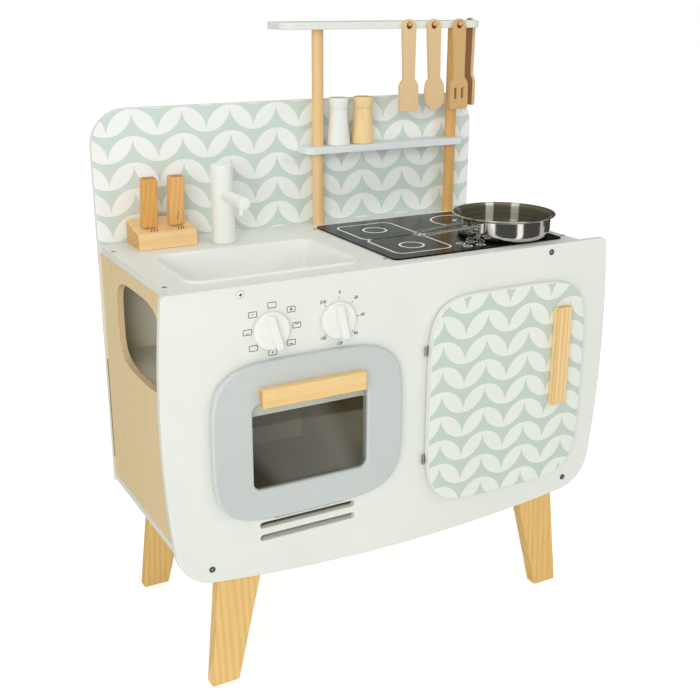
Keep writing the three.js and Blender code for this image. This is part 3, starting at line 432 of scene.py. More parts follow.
# A darker copy of the beech: painted shade for the slotted turner.
beech_turner_painted_shade = wood("beech_turner_painted_shade", rgb(222, 182, 122), rgb(200, 154, 94), "Z", 220.0, 900.0, 0.25, pores=0.1)
honey_end = end_grain("honey_end_grain", rgb(226, 182, 122), rgb(200, 150, 92))
# A darker copy of the beech: painted shade for the scraper's left face.
scraper_painted_shade = wood("beech_scraper_painted_shade", rgb(178, 132, 82), rgb(150, 104, 58), "Z", 220.0, 900.0, 0.25,
                   pores=0.1)
knife_end = end_grain("knife_end_grain", rgb(206, 146, 90), rgb(160, 100, 54))
pine_end = end_grain("pine_end_grain", rgb(214, 166, 98), rgb(172, 118, 58))
plastic = moulded("white_plastic", rgb(243, 245, 238))
basin_plastic = moulded("basin_plastic", rgb(240, 240, 235), 0.4, 0.00012, 700.0)
charcoal = hob_gloss("hob_charcoal")
hob_ink = ink("hob_ink", rgb(248, 250, 246))
dial_ink = ink("dial_ink", rgb(54, 54, 52))
polished = metal("polished_steel", (0.80, 0.77, 0.70, 1), 0.1)
steel = metal("plain_steel", (0.55, 0.55, 0.53, 1), 0.3, (60, 1, 1), 400.0)
wire_steel = metal("wire_steel", rgb(206, 206, 200), 0.22, solid=0.8)
dark_steel = metal("dark_steel", (0.36, 0.42, 0.46, 1), 0.5, (60, 1, 1), 400.0)
window = pane("clear_acrylic", (0.95, 0.95, 0.92, 1))
# Near black: painted shade inside the screw sockets, and the small cross of the upper left cap.
socket_shade_and_cross = ink("socket_painted_shade_and_cross", rgb(38, 38, 36), 0.7)
# Grey ring round the upper left cap: painted shadow.
cap_ring_painted_shadow = ink("cap_ring_painted_shadow", rgb(196, 198, 192), 0.6)
# Dark brown: marks on the block, knife and partition, and painted shade in the tools' holes.
dark_brown_marks_and_painted_shade = ink("dark_brown_marks_and_painted_shade", rgb(112, 72, 34), 0.8)


# ---------------------------------------------------------------- mesh helpers
def smooth(thing, sharp):
    thing.data.shade_smooth()
    thing.data.set_sharp_from_angle(angle=math.radians(sharp))
    modifier = thing.modifiers.new("normals", "WEIGHTED_NORMAL")
    modifier.keep_sharp = True
    modifier.weight = 60


def linked(name, data):
    """A new object of the scene."""
    made = bpy.data.objects.new(name, data)
    COLLECTION.objects.link(made)
    return made


def mesh_from(work, data=None):
    """Writes a bmesh to a mesh, a new one if none is given, and frees it."""
    data = data or bpy.data.meshes.new("piece")
    work.to_mesh(data)
    work.free()
    return data


def tidy(data):
    """Welds what touches and turns all faces outwards."""
    work = bmesh.new()
    work.from_mesh(data)
    bmesh.ops.remove_doubles(work, verts=work.verts, dist=2e-6)
    bmesh.ops.recalc_face_normals(work, faces=work.faces)
    mesh_from(work, data)


def closed_shell(work, rings):
    """A mesh with walls between each ring of vertices and the next, and both ends closed."""
    for lower, upper in zip(rings, rings[1:]):
        for i in range(len(lower)):
            j = (i + 1) % len(lower)
            work.faces.new((lower[i], lower[j], upper[j], upper[i]))
    work.faces.new(list(reversed(rings[0])))
    work.faces.new(rings[-1])
    bmesh.ops.recalc_face_normals(work, faces=work.faces)
    return mesh_from(work)


def move(x, y, z):
    return Matrix.Translation((x, y, z))


def spin(angle, axis):
    return Matrix.Rotation(math.radians(angle), 4, axis)


def add(name, data, material, body, node=None, sharp=38.0, ends=None):
    """Puts a finished mesh in the scene, instead of a CAD node if one is named. ends is (material,
    directions, cosine): faces that look along one of the directions get that material."""
    made = linked(name, data)
    data.materials.clear()
    data.materials.append(material)
    if ends:
        other, directions, limit = ends
        data.materials.append(other)
        for face in data.polygons:
            if any(face.normal.dot(Vector(direction)) > limit for direction in directions):
                face.material_index = 1
    smooth(made, sharp)
    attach(made, body)
    if node:
        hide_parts(node)
    return made


def evaluated(thing):
    """The mesh of a curve or of an object with modifiers. The helper object is removed."""
    bpy.context.view_layer.update()
    graph = bpy.context.evaluated_depsgraph_get()
    data = bpy.data.meshes.new_from_object(thing.evaluated_get(graph))
    bpy.data.objects.remove(thing)
    tidy(data)
    return data


FACING = spin(90, "X")
TO_YZ = Matrix(((0, 0, 1, 0), (1, 0, 0, 0), (0, 1, 0, 0), (0, 0, 0, 1)))
PLANES = {"XY": Matrix(), "XZ": FACING, "YZ": TO_YZ}
NORMAL_AXIS = {"XY": 2, "XZ": 1, "YZ": 0}
ENDS_X = [(1, 0, 0), (-1, 0, 0)]
ENDS_Y = [(0, 1, 0), (0, -1, 0)]
ENDS_Z = [(0, 0, 1), (0, 0, -1)]


def from_curve(curve):
    data = evaluated(linked("curve", curve))
    bpy.data.curves.remove(curve)
    return data


def plate_mesh(loops, plane, low, high, edge=0.0008, steps=2):
    """A board with holes and rounded edges: outlines in a plane, spanning low to high across it."""
    curve = bpy.data.curves.new("outline", "CURVE")
    curve.dimensions = "2D"
    curve.fill_mode = "BOTH"
    for loop in loops:
        spline = curve.splines.new("POLY")
        spline.points.add(len(loop) - 1)
        for point, (a, b) in zip(spline.points, loop):
            point.co = (a, b, 0, 1)
        spline.use_cyclic_u = True
    curve.extrude = (high - low) / 2 - edge
    curve.bevel_depth = edge
    curve.bevel_resolution = steps
    curve.offset = -edge
    data = from_curve(curve)
    data.transform(PLANES[plane])
    shift = Vector((0, 0, 0))
    shift[NORMAL_AXIS[plane]] = (low + high) / 2
    data.transform(Matrix.Translation(shift))
    return data


def arc_points(cx, cy, r, start, end, steps):
    angles = [math.radians(start + (end - start) * i / steps) for i in range(steps + 1)]
    return [(cx + r * math.cos(a), cy + r * math.sin(a)) for a in angles]


def round_rect(x0, y0, x1, y1, r, steps=10):
    r = min(r, (x1 - x0) / 2 - 1e-6, (y1 - y0) / 2 - 1e-6)
    return (arc_points(x1 - r, y0 + r, r, -90, 0, steps) + arc_points(x1 - r, y1 - r, r, 0, 90, steps)
            + arc_points(x0 + r, y1 - r, r, 90, 180, steps) + arc_points(x0 + r, y0 + r, r, 180, 270, steps))


def rect(x0, y0, x1, y1):
    return [(x0, y0), (x1, y0), (x1, y1), (x0, y1)]


def circle(cx, cy, r, steps=48):
    return arc_points(cx, cy, r, 0, 360 - 360 / steps, steps - 1)


def barrel(cx, cy, rx, ry, power, steps=240):
    """Superellipse: swelling sides and soft corners."""
    points = []
    for i in range(steps):
        t = 2 * math.pi * i / steps
        c, s = math.cos(t), math.sin(t)
        points.append((cx + rx * math.copysign(abs(c) ** (2 / power), c),
                       cy + ry * math.copysign(abs(s) ** (2 / power), s)))
    return points


def bend(start, middle, end, steps=24):
    """Points of a quadratic curve, without its first point."""
    points = []
    for i in range(1, steps + 1):
        t = i / steps
        points.append(tuple(start[k] * (1 - t) ** 2 + 2 * middle[k] * t * (1 - t) + end[k] * t * t
                            for k in (0, 1)))
    return points


def turned_mesh(profile, segments=64, at=(0, 0, 0), turn=Matrix()):
    """Turns (radius, height) points round Z, then moves them into place. Ends on the axis are closed."""
    work = bmesh.new()
    rings = []
    for r, z in profile:
        spots = [(0, 0)] if r < 1e-7 else circle(0, 0, r, segments)
        rings.append([work.verts.new((x, y, z)) for x, y in spots])
    for lower, upper in zip(rings, rings[1:]):
        for i in range(segments):
            j = (i + 1) % segments
            corners = (lower[i % len(lower)], lower[j % len(lower)], upper[j % len(upper)],
                       upper[i % len(upper)])
            unique = list(dict.fromkeys(corners))
            if len(unique) > 2:
                work.faces.new(unique)
    bmesh.ops.recalc_face_normals(work, faces=work.faces)
    data = mesh_from(work)
    data.transform(Matrix.Translation(at) @ turn)
    return data


def box_mesh(low, high, edge=0.0015, steps=3, shape=None):
    """A block with rounded edges. shape may move its eight corners."""
    work = bmesh.new()
    bmesh.ops.create_cube(work, size=1.0)
    for vert in work.verts:
        vert.co = Vector([low[k] if vert.co[k] < 0 else high[k] for k in range(3)])
        if shape:
            vert.co = Vector(shape(vert.co))
    bmesh.ops.bevel(work, geom=list(work.edges) + list(work.verts), offset=edge, segments=steps,
                    profile=0.5, affect="EDGES")
    return mesh_from(work)


def wire_mesh(points, radius):
    """A round wire along a smooth open path."""
    curve = bpy.data.curves.new("wire", "CURVE")
    curve.dimensions = "3D"
    curve.bevel_depth = radius
    curve.bevel_resolution = 4
    curve.use_fill_caps = True
    curve.resolution_u = 8
    spline = curve.splines.new("NURBS")
    spline.points.add(len(points) - 1)
    for point, co in zip(spline.points, points):
        point.co = (*co, 1)
    spline.order_u = 4
    spline.use_endpoint_u = True
    return from_curve(curve)


def joined(meshes):
    """Several meshes as one."""
    work = bmesh.new()
    for data in meshes:
        work.from_mesh(data)
        bpy.data.meshes.remove(data)
    return mesh_from(work)


def refined(node, edge, steps=2):
    """A copy of a CAD node's mesh with its edges rounded."""
    data = NODES[node].data.copy()
    tidy(data)
    work = bmesh.new()
    work.from_mesh(data)
    bmesh.ops.dissolve_limit(work, angle_limit=math.radians(0.4), verts=work.verts, edges=work.edges)
    modifier = linked("copy", mesh_from(work, data)).modifiers.new("edge", "BEVEL")
    modifier.width = edge
    modifier.segments = steps
    modifier.limit_method = "ANGLE"
    modifier.angle_limit = math.radians(40)
    modifier.use_clamp_overlap = True
    return evaluated(modifier.id_data)


def fitted(node, suffix, material, edge, steps=2, ends=None):
    """A piece of the cabinet whose CAD shape only needs rounded edges."""
    add(f"{node}_{suffix}", refined(node, edge, steps), material, "cabinet", node, ends=ends)


def paint(material, *names):
    """A CAD node whose shape is right keeps its mesh and gets a better material."""
    for name in names:
        data = NODES[name].data
        data.materials.clear()
        data.materials.append(material)


def span(node):
    low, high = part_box(node)
    return low, high, (low + high) / 2


# ---------------------------------------------------------------- cabinet
def build_front_panel():
    low, high, _ = span("front_panel")
    top = high.z
    right = [(0.291, top)]
    right += bend((0.291, top), (0.299, top), (0.299, top - 0.008), 8)
    right += bend(right[-1], (0.314, 0.336), (0.297, 0.190), 48)
    right += bend(right[-1], (0.291, 0.152), (0.255, 0.144), 20)
    right += bend(right[-1], (0.0, 0.112), (-0.255, 0.144), 72)
    left = [(-x, z) for x, z in reversed(right[:-72])]
    outline = right + left[1:]
    mouth = round_rect(-0.209, 0.246, -0.054, 0.3385, 0.008)
    vents = [round_rect(-0.19375, z - 0.00375, -0.06925, z + 0.00375, 0.00375) for z in (0.201, 0.1848)]
    cupboard = round_rect(0.0475, 0.196, 0.2435, 0.424, 0.030, 14)
    data = plate_mesh([outline, mouth, cupboard, *vents], "XZ", low.y, high.y, 0.0011, 3)
    add("front_panel_board", data, white, "cabinet", "front_panel")


def build_back_panel():
    low, high, _ = span("back_panel")
    r = 0.045
    outline = ([(low.x, low.z), (high.x, low.z)] + arc_points(high.x - r, high.z - r, r, 0, 90, 24)
               + arc_points(low.x + r, high.z - r, r, 90, 180, 24))
    data = plate_mesh([outline], "XZ", low.y, high.y, 0.0007)
    # Its front takes the leaf print in lighter colours, painted light, with painted shade below it in the
    # oven.
    add("back_panel_board", data, white, "cabinet", "back_panel",
        ends=(back_print_painted_light_and_shade, [(0, -1, 0)], 0.97))


def build_side_panels():
    low, high, _ = span("left_side_panel")
    loops = [rect(low.y, low.z, high.y, high.z), barrel(-0.0035, 0.4105, 0.079, 0.0525, 3.8, 160)]
    ends = (side_edge, ENDS_Y + ENDS_Z, 0.6)
    for side, data in (("left", plate_mesh(loops, "YZ", low.x, high.x, 0.0007)),
                       ("right", refined("right_side_panel", 0.0007))):
        add(f"{side}_side_board", data, side_veneer, "cabinet", f"{side}_side_panel", ends=ends)


def build_boards():
    # Inside faces of the partition, roof and floor take the inside lacquer with its painted shade.
    fitted("centre_partition", "board", white_inside_painted_shade, 0.0006)
    fitted("bottom_panel", "board", white, 0.0006, ends=(white_inside_painted_shade, [(0, 0, 1)], 0.9))
    # The underside of the oven's roof gets a brown painted shadow.
    fitted("oven_roof_shelf", "board", white_inside_painted_shade, 0.0006,
           ends=(roof_painted_shadow, [(0, 0, -1)], 0.9))
    mark = box_mesh((-0.0160, 0.0855, 0.197), (-0.01545, 0.0866, 0.204), 0.0001, 1)
    add("partition_mark", mark, dark_brown_marks_and_painted_shade, "cabinet")
    fitted("worktop", "board", white, 0.0008)
    for level in ("upper", "lower"):
        for side in SIDES:
            fitted(f"{level}_{side}_block", "wood", pine_block, 0.0008)


def build_legs():
    for end in ("front", "rear"):
        for side in SIDES:
            fitted(f"{end}_{side}_leg", "wood", pine, 0.0018, 3, (pine_end, ENDS_Z, 0.99))


def socket_head(radius, dome, socket):
    """Round screw head with a hexagon socket, its top towards +Z and its seat at 0."""
    segments, depth = 36, 0.0012
    profile = [(radius - 0.0001, 0), (radius, dome * 0.35)]
    for a in (math.radians(20), math.radians(40), math.radians(55)):
        profile.append((radius * math.cos(a) * 0.98, dome * (0.4 + 0.6 * math.sin(a))))
    profile.append((socket * 1.12, dome))
    work = bmesh.new()
    rings = [[work.verts.new((x, y, z)) for x, y in circle(0, 0, r, segments)] for r, z in profile]
    for z, size in ((dome, socket), (dome - depth, socket * 0.97)):
        ring = []
        for i in range(segments):
            a = 2 * math.pi * i / segments
            r = size * math.cos(math.pi / 6) / math.cos((a % (math.pi / 3)) - math.pi / 6)
            ring.append(work.verts.new((r * math.cos(a), r * math.sin(a), z)))
        rings.append(ring)
    data = closed_shell(work, rings)
    # Faces inside the socket get the second slot, for painted shade.
    for face in data.polygons:
        if face.center.xy.length < socket * 0.99 and face.center.z < dome - 0.0002:
            face.material_index = 1
    return data


def place_head(name, data, at, facing, node=None):
    """Puts a screw head with its top towards facing and gives its socket painted shade."""
    turn = Vector((0, 0, 1)).rotation_difference(Vector(facing)).to_matrix().to_4x4()
    data.transform(Matrix.Translation(at) @ turn)
    indices = [face.material_index for face in data.polygons]
    add(name, data, dark_steel, "cabinet", node)
    data.materials.append(socket_shade_and_cross)
    data.polygons.foreach_set("material_index", indices)


def build_screws():
    face, top, back = span("front_panel")[0].y, span("worktop")[1].z, span("back_panel")[1].y
    for node, rise in (("upper_right_screw", 0.0015), ("lower_left_screw", 0), ("lower_right_screw", 0)):
        mid = span(node)[2]
        place_head(node + "_head", socket_head(0.0039, 0.0012, 0.0015), (mid.x, face + 0.0001, mid.z + rise),
                   (0, -1, 0), node)
    # The screw at the upper left sits in a white cap with a small dark cross.
    mid = span("upper_left_screw")[2]
    at = move(mid.x - 0.001, face, mid.z + 0.002) @ FACING
    cap = turned_mesh([(0, 0.0005), (0.0017, 0.0005), (0.0019, 0.0011), (0.0034, 0.0011), (0.0042, 0.0006),
                       (0.0044, 0.0), (0, 0)], 48)
    # A grey ring round the cap: painted shadow.
    shadow_ring = flat_line(circle(0, 0, 0.0047, 40), 0.0005, True, 0.0002)
    cross = joined([box_mesh((-x, -y, 0.0004), (x, y, 0.0009), 0.0001, 1)
                    for x, y in ((0.0016, 0.0005), (0.0005, 0.0016))])
    for data in (cap, shadow_ring, cross):
        data.transform(at)
    add("upper_left_screw_cap", cap, plastic, "cabinet", "upper_left_screw")
    add("upper_left_screw_seam", shadow_ring, cap_ring_painted_shadow, "cabinet")
    add("upper_left_screw_cross", cross, socket_shade_and_cross, "cabinet")
    sunk = 0.00005
    on_top = [(x, y, top - sunk) for x in (-0.282, -0.011, 0.255) for y in (-0.0905, 0.0905)]
    behind = [(x, back - sunk, z) for z in (0.1765, 0.346, 0.4855)
              for x in (-0.275, -0.15, -0.011, 0.13, 0.248)]
    for name, places, facing in (("worktop_screw", on_top, (0, 0, 1)), ("back_screw", behind, (0, 1, 0))):
        for number, at in enumerate(places, 1):
            place_head(f"{name}_{number}", socket_head(0.0030, 0.0004, 0.0016), at, facing)


# ---------------------------------------------------------------- doors and knobs
def build_doors():
    low, high, mid = span("oven_door")
    loops = [barrel(mid.x, mid.z, (high.x - low.x) / 2, (high.z - low.z) / 2, 4.2),
             round_rect(mid.x - 0.073, 0.252, mid.x + 0.073, 0.356, 0.010)]
    data = plate_mesh(loops, "XZ", low.y, high.y, 0.0026, 4)
    # The oven door's left edge is lighter: painted highlight.
    add("oven_door_board", data, pale_grey, "oven_door", "oven_door",
        ends=(door_edge_painted_highlight, [(-1, 0, 0)], 0.35))
    paint(window, "oven_window")
    low, high, mid = span("cupboard_door")
    loops = [barrel(mid.x, mid.z, (high.x - low.x) / 2, (high.z - low.z) / 2, 5.2)]
    data = plate_mesh(loops, "XZ", low.y, high.y, 0.0011, 3)
    add("cupboard_door_board", data, white, "cupboard_door", "cupboard_door",
        ends=(door_print, [(0, -1, 0)], 0.97))
    for door, material, ends in (("oven", honey_x, ENDS_X), ("cupboard", honey_z, ENDS_Z)):
        low, high, _ = span(f"{door}_handle")
        add(f"{door}_handle_wood", box_mesh(low, high, 0.0016), material, f"{door}_door", f"{door}_handle",
            ends=(honey_end, ends, 0.97))
    paint(steel, *[name for name in NODES if "hinge" in name])


def knob_mesh(at, turned):
    """Flat round knob with a raised grip bar across it, turned some degrees to the left of upright."""
    radius, disc, height = 0.0215, 0.006, 0.015
    round_part = turned_mesh([(0, 0), (radius - 0.0010, 0), (radius, 0.0008), (radius, disc - 0.0022),
                              (radius - 0.0005, disc - 0.0010), (radius - 0.0014, disc - 0.0002),
                              (radius - 0.0026, disc), (0, disc)], 96)
    outline = round_rect(-0.0043, -0.020, 0.0043, 0.020, 0.0026, 8)
    bar = plate_mesh([outline], "XY", 0.001, height, 0.0012, 4)
    data = joined([round_part, bar])
    data.transform(Matrix.Translation(at) @ FACING @ spin(turned, "Z"))
    return data


def build_knobs():
    for side, turned in (("left", 17), ("right", 12)):
        _, high, mid = span(f"{side}_knob")
        add(f"{side}_knob_cap", knob_mesh((mid.x, high.y, mid.z), turned), plastic, f"{side}_knob",
            f"{side}_knob", sharp=50)
        paint(steel, f"{side}_knob_spindle")


# ---------------------------------------------------------------- worktop fittings
def build_basin():
    low, high, _ = span("sink_basin")
    corner, least, top, seat = 0.022, 0.006, high.z, 0.490
    # Each step goes inwards from the rim's outline by the first value, at the height of the second.
    steps = [(0.0270, low.z), (0.0205, low.z + 0.0008), (0.0168, low.z + 0.0040), (0.0082, seat - 0.0010),
             (0.0080, seat), (0.0, seat), (0.0, top - 0.0014), (0.0003, top - 0.0006), (0.0010, top - 0.0001),
             (0.0018, top), (0.0058, top), (0.0072, top - 0.0004), (0.0084, top - 0.0014),
             (0.0094, top - 0.0032), (0.0168, low.z + 0.0105), (0.0180, low.z + 0.0070),
             (0.0205, low.z + 0.0042), (0.0240, low.z + 0.0028), (0.0300, low.z + 0.0024)]
    work = bmesh.new()
    rings = []
    for inset, z in steps:
        outline = round_rect(low.x + inset, low.y + inset, high.x - inset, high.y - inset,
                             max(corner - inset, least), 12)
        rings.append([work.verts.new((x, y, z)) for x, y in outline])
    data = closed_shell(work, rings)
    add("sink_basin_shell", data, basin_plastic, "sink_basin", "sink_basin")


def facing_up(work):
    for face in work.faces:
        face.normal_update()
        if face.normal.z < 0:
            face.normal_flip()
    return mesh_from(work)


def flat_line(points, width, closed=False, z=0.0):
    """A printed line of constant width along a path or a closed loop, as a thin flat strip."""
    work = bmesh.new()
    count = len(points)
    sides = []
    for i, (x, y) in enumerate(points):
        before = points[(i - 1) % count] if closed or i > 0 else points[i]
        after = points[(i + 1) % count] if closed or i < count - 1 else points[i]
        along = Vector((after[0] - before[0], after[1] - before[1])).normalized()
        off = Vector((-along.y, along.x)) * width / 2
        sides.append((work.verts.new((x + off.x, y + off.y, z)), work.verts.new((x - off.x, y - off.y, z))))
    for i in range(count if closed else count - 1):
        a, b = sides[i], sides[(i + 1) % count]
        work.faces.new((a[0], a[1], b[1], b[0]))
    return facing_up(work)


def flat_area(loop):
    work = bmesh.new()
    work.faces.new([work.verts.new((x, y, 0)) for x, y in loop])
    return facing_up(work)


def build_hob():
    """The plate and its print. The print's places are measured from the front panel's face."""
    fitted("hob_plate", "film", charcoal, 0.0005)
    zones = [round_rect(0.0115, 0.121, 0.0915, 0.203, 0.012), round_rect(0.0105, 0.039, 0.0900, 0.121, 0.012)]
    rings = [circle(0.051, 0.166, 0.0150), circle(0.0495, 0.073, 0.0150), circle(0.180, 0.170, 0.0330, 72),
             circle(0.185, 0.066, 0.0330, 72)]
    lines = [flat_line(loop, 0.0026, True) for loop in zones]
    lines += [flat_line(loop, 0.0028, True) for loop in rings]
    lines.append(flat_area(circle(0.180, 0.170, 0.0045)))
    for x, y in ((0.1075, 0.0515), (0.1075, 0.036), (0.1235, 0.0535), (0.126, 0.035), (0.1325, 0.0655),
                 (0.1365, 0.050)):
        lines.append(flat_line(circle(x, y, 0.0052, 32), 0.0017, True))
        lines.append(flat_line([(x - 0.0022, y), (x + 0.0022, y)], 0.0013))
    data = joined(lines)
    data.transform(move(0, FRONT_Y, span("hob_plate")[1].z + 0.00004))
    add("hob_print", data, hob_ink, "cabinet")


def build_tap():
    _, column_top, middle = span("tap_column")
    low, _, nozzle_middle = span("tap_nozzle")
    x, y, z = middle.x, middle.y, span("worktop")[1].z
    height, reach, drop = column_top.z - z, y - span("tap_spout")[0].y, SPOUT_Z - low.z - 0.003
    column = [(0, -0.014), (0.008, -0.014), (0.008, 0.0002), (0.0145, 0.0002), (0.0150, 0.0007),
              (0.0149, 0.004), (0.0137, height - 0.0020), (0.0134, height - 0.0006), (0.0127, height),
              (0, height)]
    spout = [(0.0, 0.010), (0.0075, 0.010), (0.0075, reach - 0.0012), (0.0072, reach - 0.0004),
             (0.0064, reach), (0, reach)]
    nozzle = [(0, 0.001), (0.0022, 0.001), (0.0024, 0), (0.0030, 0), (0.0033, 0.0004), (0.0033, drop),
              (0, drop)]
    for word, profile, segments, at, turn in (
            ("column", column, 72, (x, y, z), Matrix()), ("spout", spout, 56, (x, y, SPOUT_Z), FACING),
            ("nozzle", nozzle, 40, (nozzle_middle.x, nozzle_middle.y, low.z), Matrix())):
        add(f"tap_{word}_shell", turned_mesh(profile, segments, at, turn), plastic, "tap", f"tap_{word}")


def build_knives():
    """The block slopes up to the back; both knives lean forward out of it."""
    low, high, _ = span("knife_block")
    front_top, lean = low.z + 0.0195, 8
    rise = (high.z - front_top) / (high.y - low.y)

    def top_at(y):
        return front_top + (y - low.y) * rise

    block = box_mesh(low, high, 0.0)
    for vertex in block.vertices:
        if vertex.co.z > low.z + 0.001:
            vertex.co.z = top_at(vertex.co.y)
    thing = linked("block", block)
    soft = thing.modifiers.new("soft", "BEVEL")
    soft.width = 0.0013
    soft.segments = 3
    soft.limit_method = "NONE"
    add("knife_block_wood", evaluated(thing), block_wood, "cabinet", "knife_block",
        ends=(honey_end, ENDS_X, 0.97))
    up = (0, -math.sin(math.radians(lean)), math.cos(math.radians(lean)))
    marks = []
    for side, x, y in (("left", -0.2343, 0.097), ("right", -0.200, 0.0975)):
        grip = box_mesh((-0.00925, -0.00725, 0), (0.00925, 0.00725, 0.061), 0.0024, 4)
        blade = box_mesh((-0.0065, -0.0015, -0.0198), (0.0065, 0.0015, 0.010), 0.0005, 2)
        data = joined([grip, blade])
        data.transform(move(x, y, top_at(y) + 0.0005) @ spin(lean, "X"))
        add(f"{side}_knife_wood", data, knife_wood, f"{side}_knife", f"{side}_knife",
            ends=(knife_end, [up], 0.9))
        # Three short dark slanted lines on the block in front of each knife.
        for step in range(3):
            dark_line = box_mesh((-0.0005, -0.0038, -0.0003), (0.0005, 0.0038, 0.0001), 0.0001, 1)
            dark_line_y = y - 0.0115
            dark_line.transform(move(x - 0.0005 + 0.0034 * step, dark_line_y, top_at(dark_line_y) + 0.00012)
                           @ spin(math.degrees(math.atan(rise)), "X") @ spin(-16, "Z"))
            marks.append(dark_line)
    add("knife_block_nicks", joined(marks), dark_brown_marks_and_painted_shade, "cabinet")
    knot = box_mesh((-0.0003, -0.0001, 0.0), (0.0003, 0.0001, 0.011), 0.00005, 1,
                    lambda co: (co.x + 0.0006 * math.copysign(1, co.z - 0.005), co.y, co.z))
    knot.transform(move(-0.1995, 0.0975, front_top + 0.0045) @ spin(lean, "X") @ move(0, -0.00727, 0.0085))
    add("right_knife_knot", knot, dark_brown_marks_and_painted_shade, "right_knife")


# ---------------------------------------------------------------- shelf rack
def shelf_loop(low, high, front, rear):
    """Outline of a shelf from above, with well rounded front corners."""
    return (arc_points(high.x - front, low.y + front, front, -90, 0, 14)
            + arc_points(high.x - rear, high.y - rear, rear, 0, 90, 4)
            + arc_points(low.x + rear, high.y - rear, rear, 90, 180, 4)
            + arc_points(low.x + front, low.y + front, front, 180, 270, 14))


def build_rack():
    # The right post is in a darker copy of the dowel wood: painted shade.
    for side, material in (("left", dowel_wood), ("right", right_dowel_painted_shade)):
        low, high, mid = span(f"{side}_dowel")
        profile = [(0, low.z), (0.0075, low.z), (0.0075, high.z), (0, high.z)]
        add(f"{side}_post", turned_mesh(profile, 56, (mid.x, mid.y, 0)), material, "cabinet", f"{side}_dowel")
    for node, front, rear, edge, material, slot in (
            ("middle_shelf", 0.011, 0.0015, 0.0009, shelf_grey, "shelf_grey"),
            ("top_shelf", 0.018, 0.002, 0.0011, white, "white_lacquer")):
        low, high, _ = span(node)
        data = plate_mesh([shelf_loop(low, high, front, rear)], "XY", low.z, high.z, edge, 3)
        add(node + "_board", data, material, "cabinet", node)
    for node in ("spatula_peg", "spoon_peg", "turner_peg", "scraper_peg"):
        low, high, mid = span(node)
        radius = (high.z - low.z) / 2
        length = max(high.x - low.x, high.y - low.y)
        profile = [(0, 0), (radius, 0), (radius, length - 0.0007), (radius - 0.0007, length), (0, length)]
        if node == "scraper_peg":
            start, turn = (low.x, mid.y, mid.z), spin(90, "Y")
        else:
            start, turn = (mid.x, high.y, mid.z), FACING
        add(node + "_wood", turned_mesh(profile, 40, start, turn), beech, "cabinet", node,
            ends=(honey_end, ENDS_X + [(0, -1, 0)], 0.97))


def tool_outline(kind, above=TOOL_ABOVE, length=0.1175, grip=0.0105, neck=0.0088):
    """Rounded top, slim handle and the head of a hanging tool, round the centre of its hole."""
    low = above - length
    shoulder = above - 0.076
    edge = above - 0.086
    points = arc_points(0, above - grip, grip, 0, 180, 24)
    left = [(-neck, shoulder)]
    if kind == "bowl":
        half = 0.0151
        middle = (shoulder + low) / 2
        left += cubic((-neck, shoulder), (-half, shoulder - 0.004), (-half, middle + 0.004), (-half, middle))
        left += cubic((-half, middle), (-half, low + 0.006), (-half / 2, low), (0, low))
    else:
        half, corner = 0.0146, 0.004
        left += bend((-neck, shoulder), (-half, (shoulder + edge) / 2), (-half, edge), 12)
        left += [(-half, low + corner)]
        left += bend((-half, low + corner), (-half, low), (-half + corner, low), 8)
    right = [(-x, z) for x, z in reversed(left) if abs(x) > 1e-6]
    return points + left + right


def cubic(a, b, c, d, steps=16):
    points = []
    for i in range(1, steps + 1):
        t = i / steps
        points.append(tuple(a[k] * (1 - t) ** 3 + 3 * b[k] * t * (1 - t) ** 2 + 3 * c[k] * t * t * (1 - t)
                            + d[k] * t ** 3 for k in (0, 1)))
    return points


def build_tools():
    hole = circle(0, 0, TOOL_HOLE, 40)
    slots = [round_rect(x - 0.0017, -0.096, x + 0.0017, -0.0815, 0.0005, 3) for x in (-0.0055, 0.0055)]
    # The slotted turner uses a darker copy of the beech: painted shade.
    for node, peg, kind, material, extra, lean in (
            ("spatula", "spatula_peg", "blade", beech, [], 0.9),
            ("spoon", "spoon_peg", "bowl", beech, [], 2.3),
            ("slotted_turner", "turner_peg", "blade", beech_turner_painted_shade, slots, 1.6)):
        low, high, _ = span(node)
        mid = span(peg)[2]
        place = move(mid.x, 0, mid.z - TOOL_DROP) @ spin(-lean, "Y")
        data = plate_mesh([tool_outline(kind), hole, *extra], "XZ", low.y, high.y, 0.0009, 3)
        data.transform(place)
        add(node + "_wood", data, material, node, node)
        # The hole and slots are lined in dark brown: painted shade.
        hole_shade = joined([plate_mesh([loop], "XZ", high.y - 0.0012, high.y - 0.0006, 0.0001, 1)
                         for loop in (hole, *extra)])
        hole_shade.transform(place)
        add(node + "_scorch", hole_shade, dark_brown_marks_and_painted_shade, node)
    low, high, mid = span("scraper")
    data = plate_mesh([tool_outline("blade"), hole], "YZ", low.x, high.x, 0.0009, 3)
    data.transform(move(0, mid.y, high.z - TOOL_ABOVE))
    # The scraper's left face is darker: painted shade.
    add("scraper_wood", data, beech, "scraper", "scraper", ends=(scraper_painted_shade, [(-1, 0, 0)], 0.9))


def build_mills():
    profile = [(0, 0), (0.0140, 0), (0.0150, 0.0004), (0.0154, 0.0012), (0.0154, 0.0026), (0.0151, 0.006),
               (0.0143, 0.014), (0.0133, 0.024), (0.0124, 0.034), (0.0118, 0.042), (0.0117, 0.0448),
               (0.0112, 0.0453), (0.0112, 0.0458), (0.0118, 0.0463), (0.0122, 0.049), (0.0129, 0.0530),
               (0.0134, 0.0572), (0.0133, 0.0594), (0.0128, 0.0604), (0.0114, 0.0610), (0.0035, 0.0610),
               (0.0030, 0.0606), (0, 0.0605)]
    for node, material, slot in (("white_mill", mill_white, "white_lacquer"),
                                 ("wooden_mill", mill_wood, "dowel_wood")):
        low, _, mid = span(node)
        add(node + "_turned", turned_mesh(profile, 72, (mid.x, mid.y, low.z)), material, node, node,
            sharp=50)


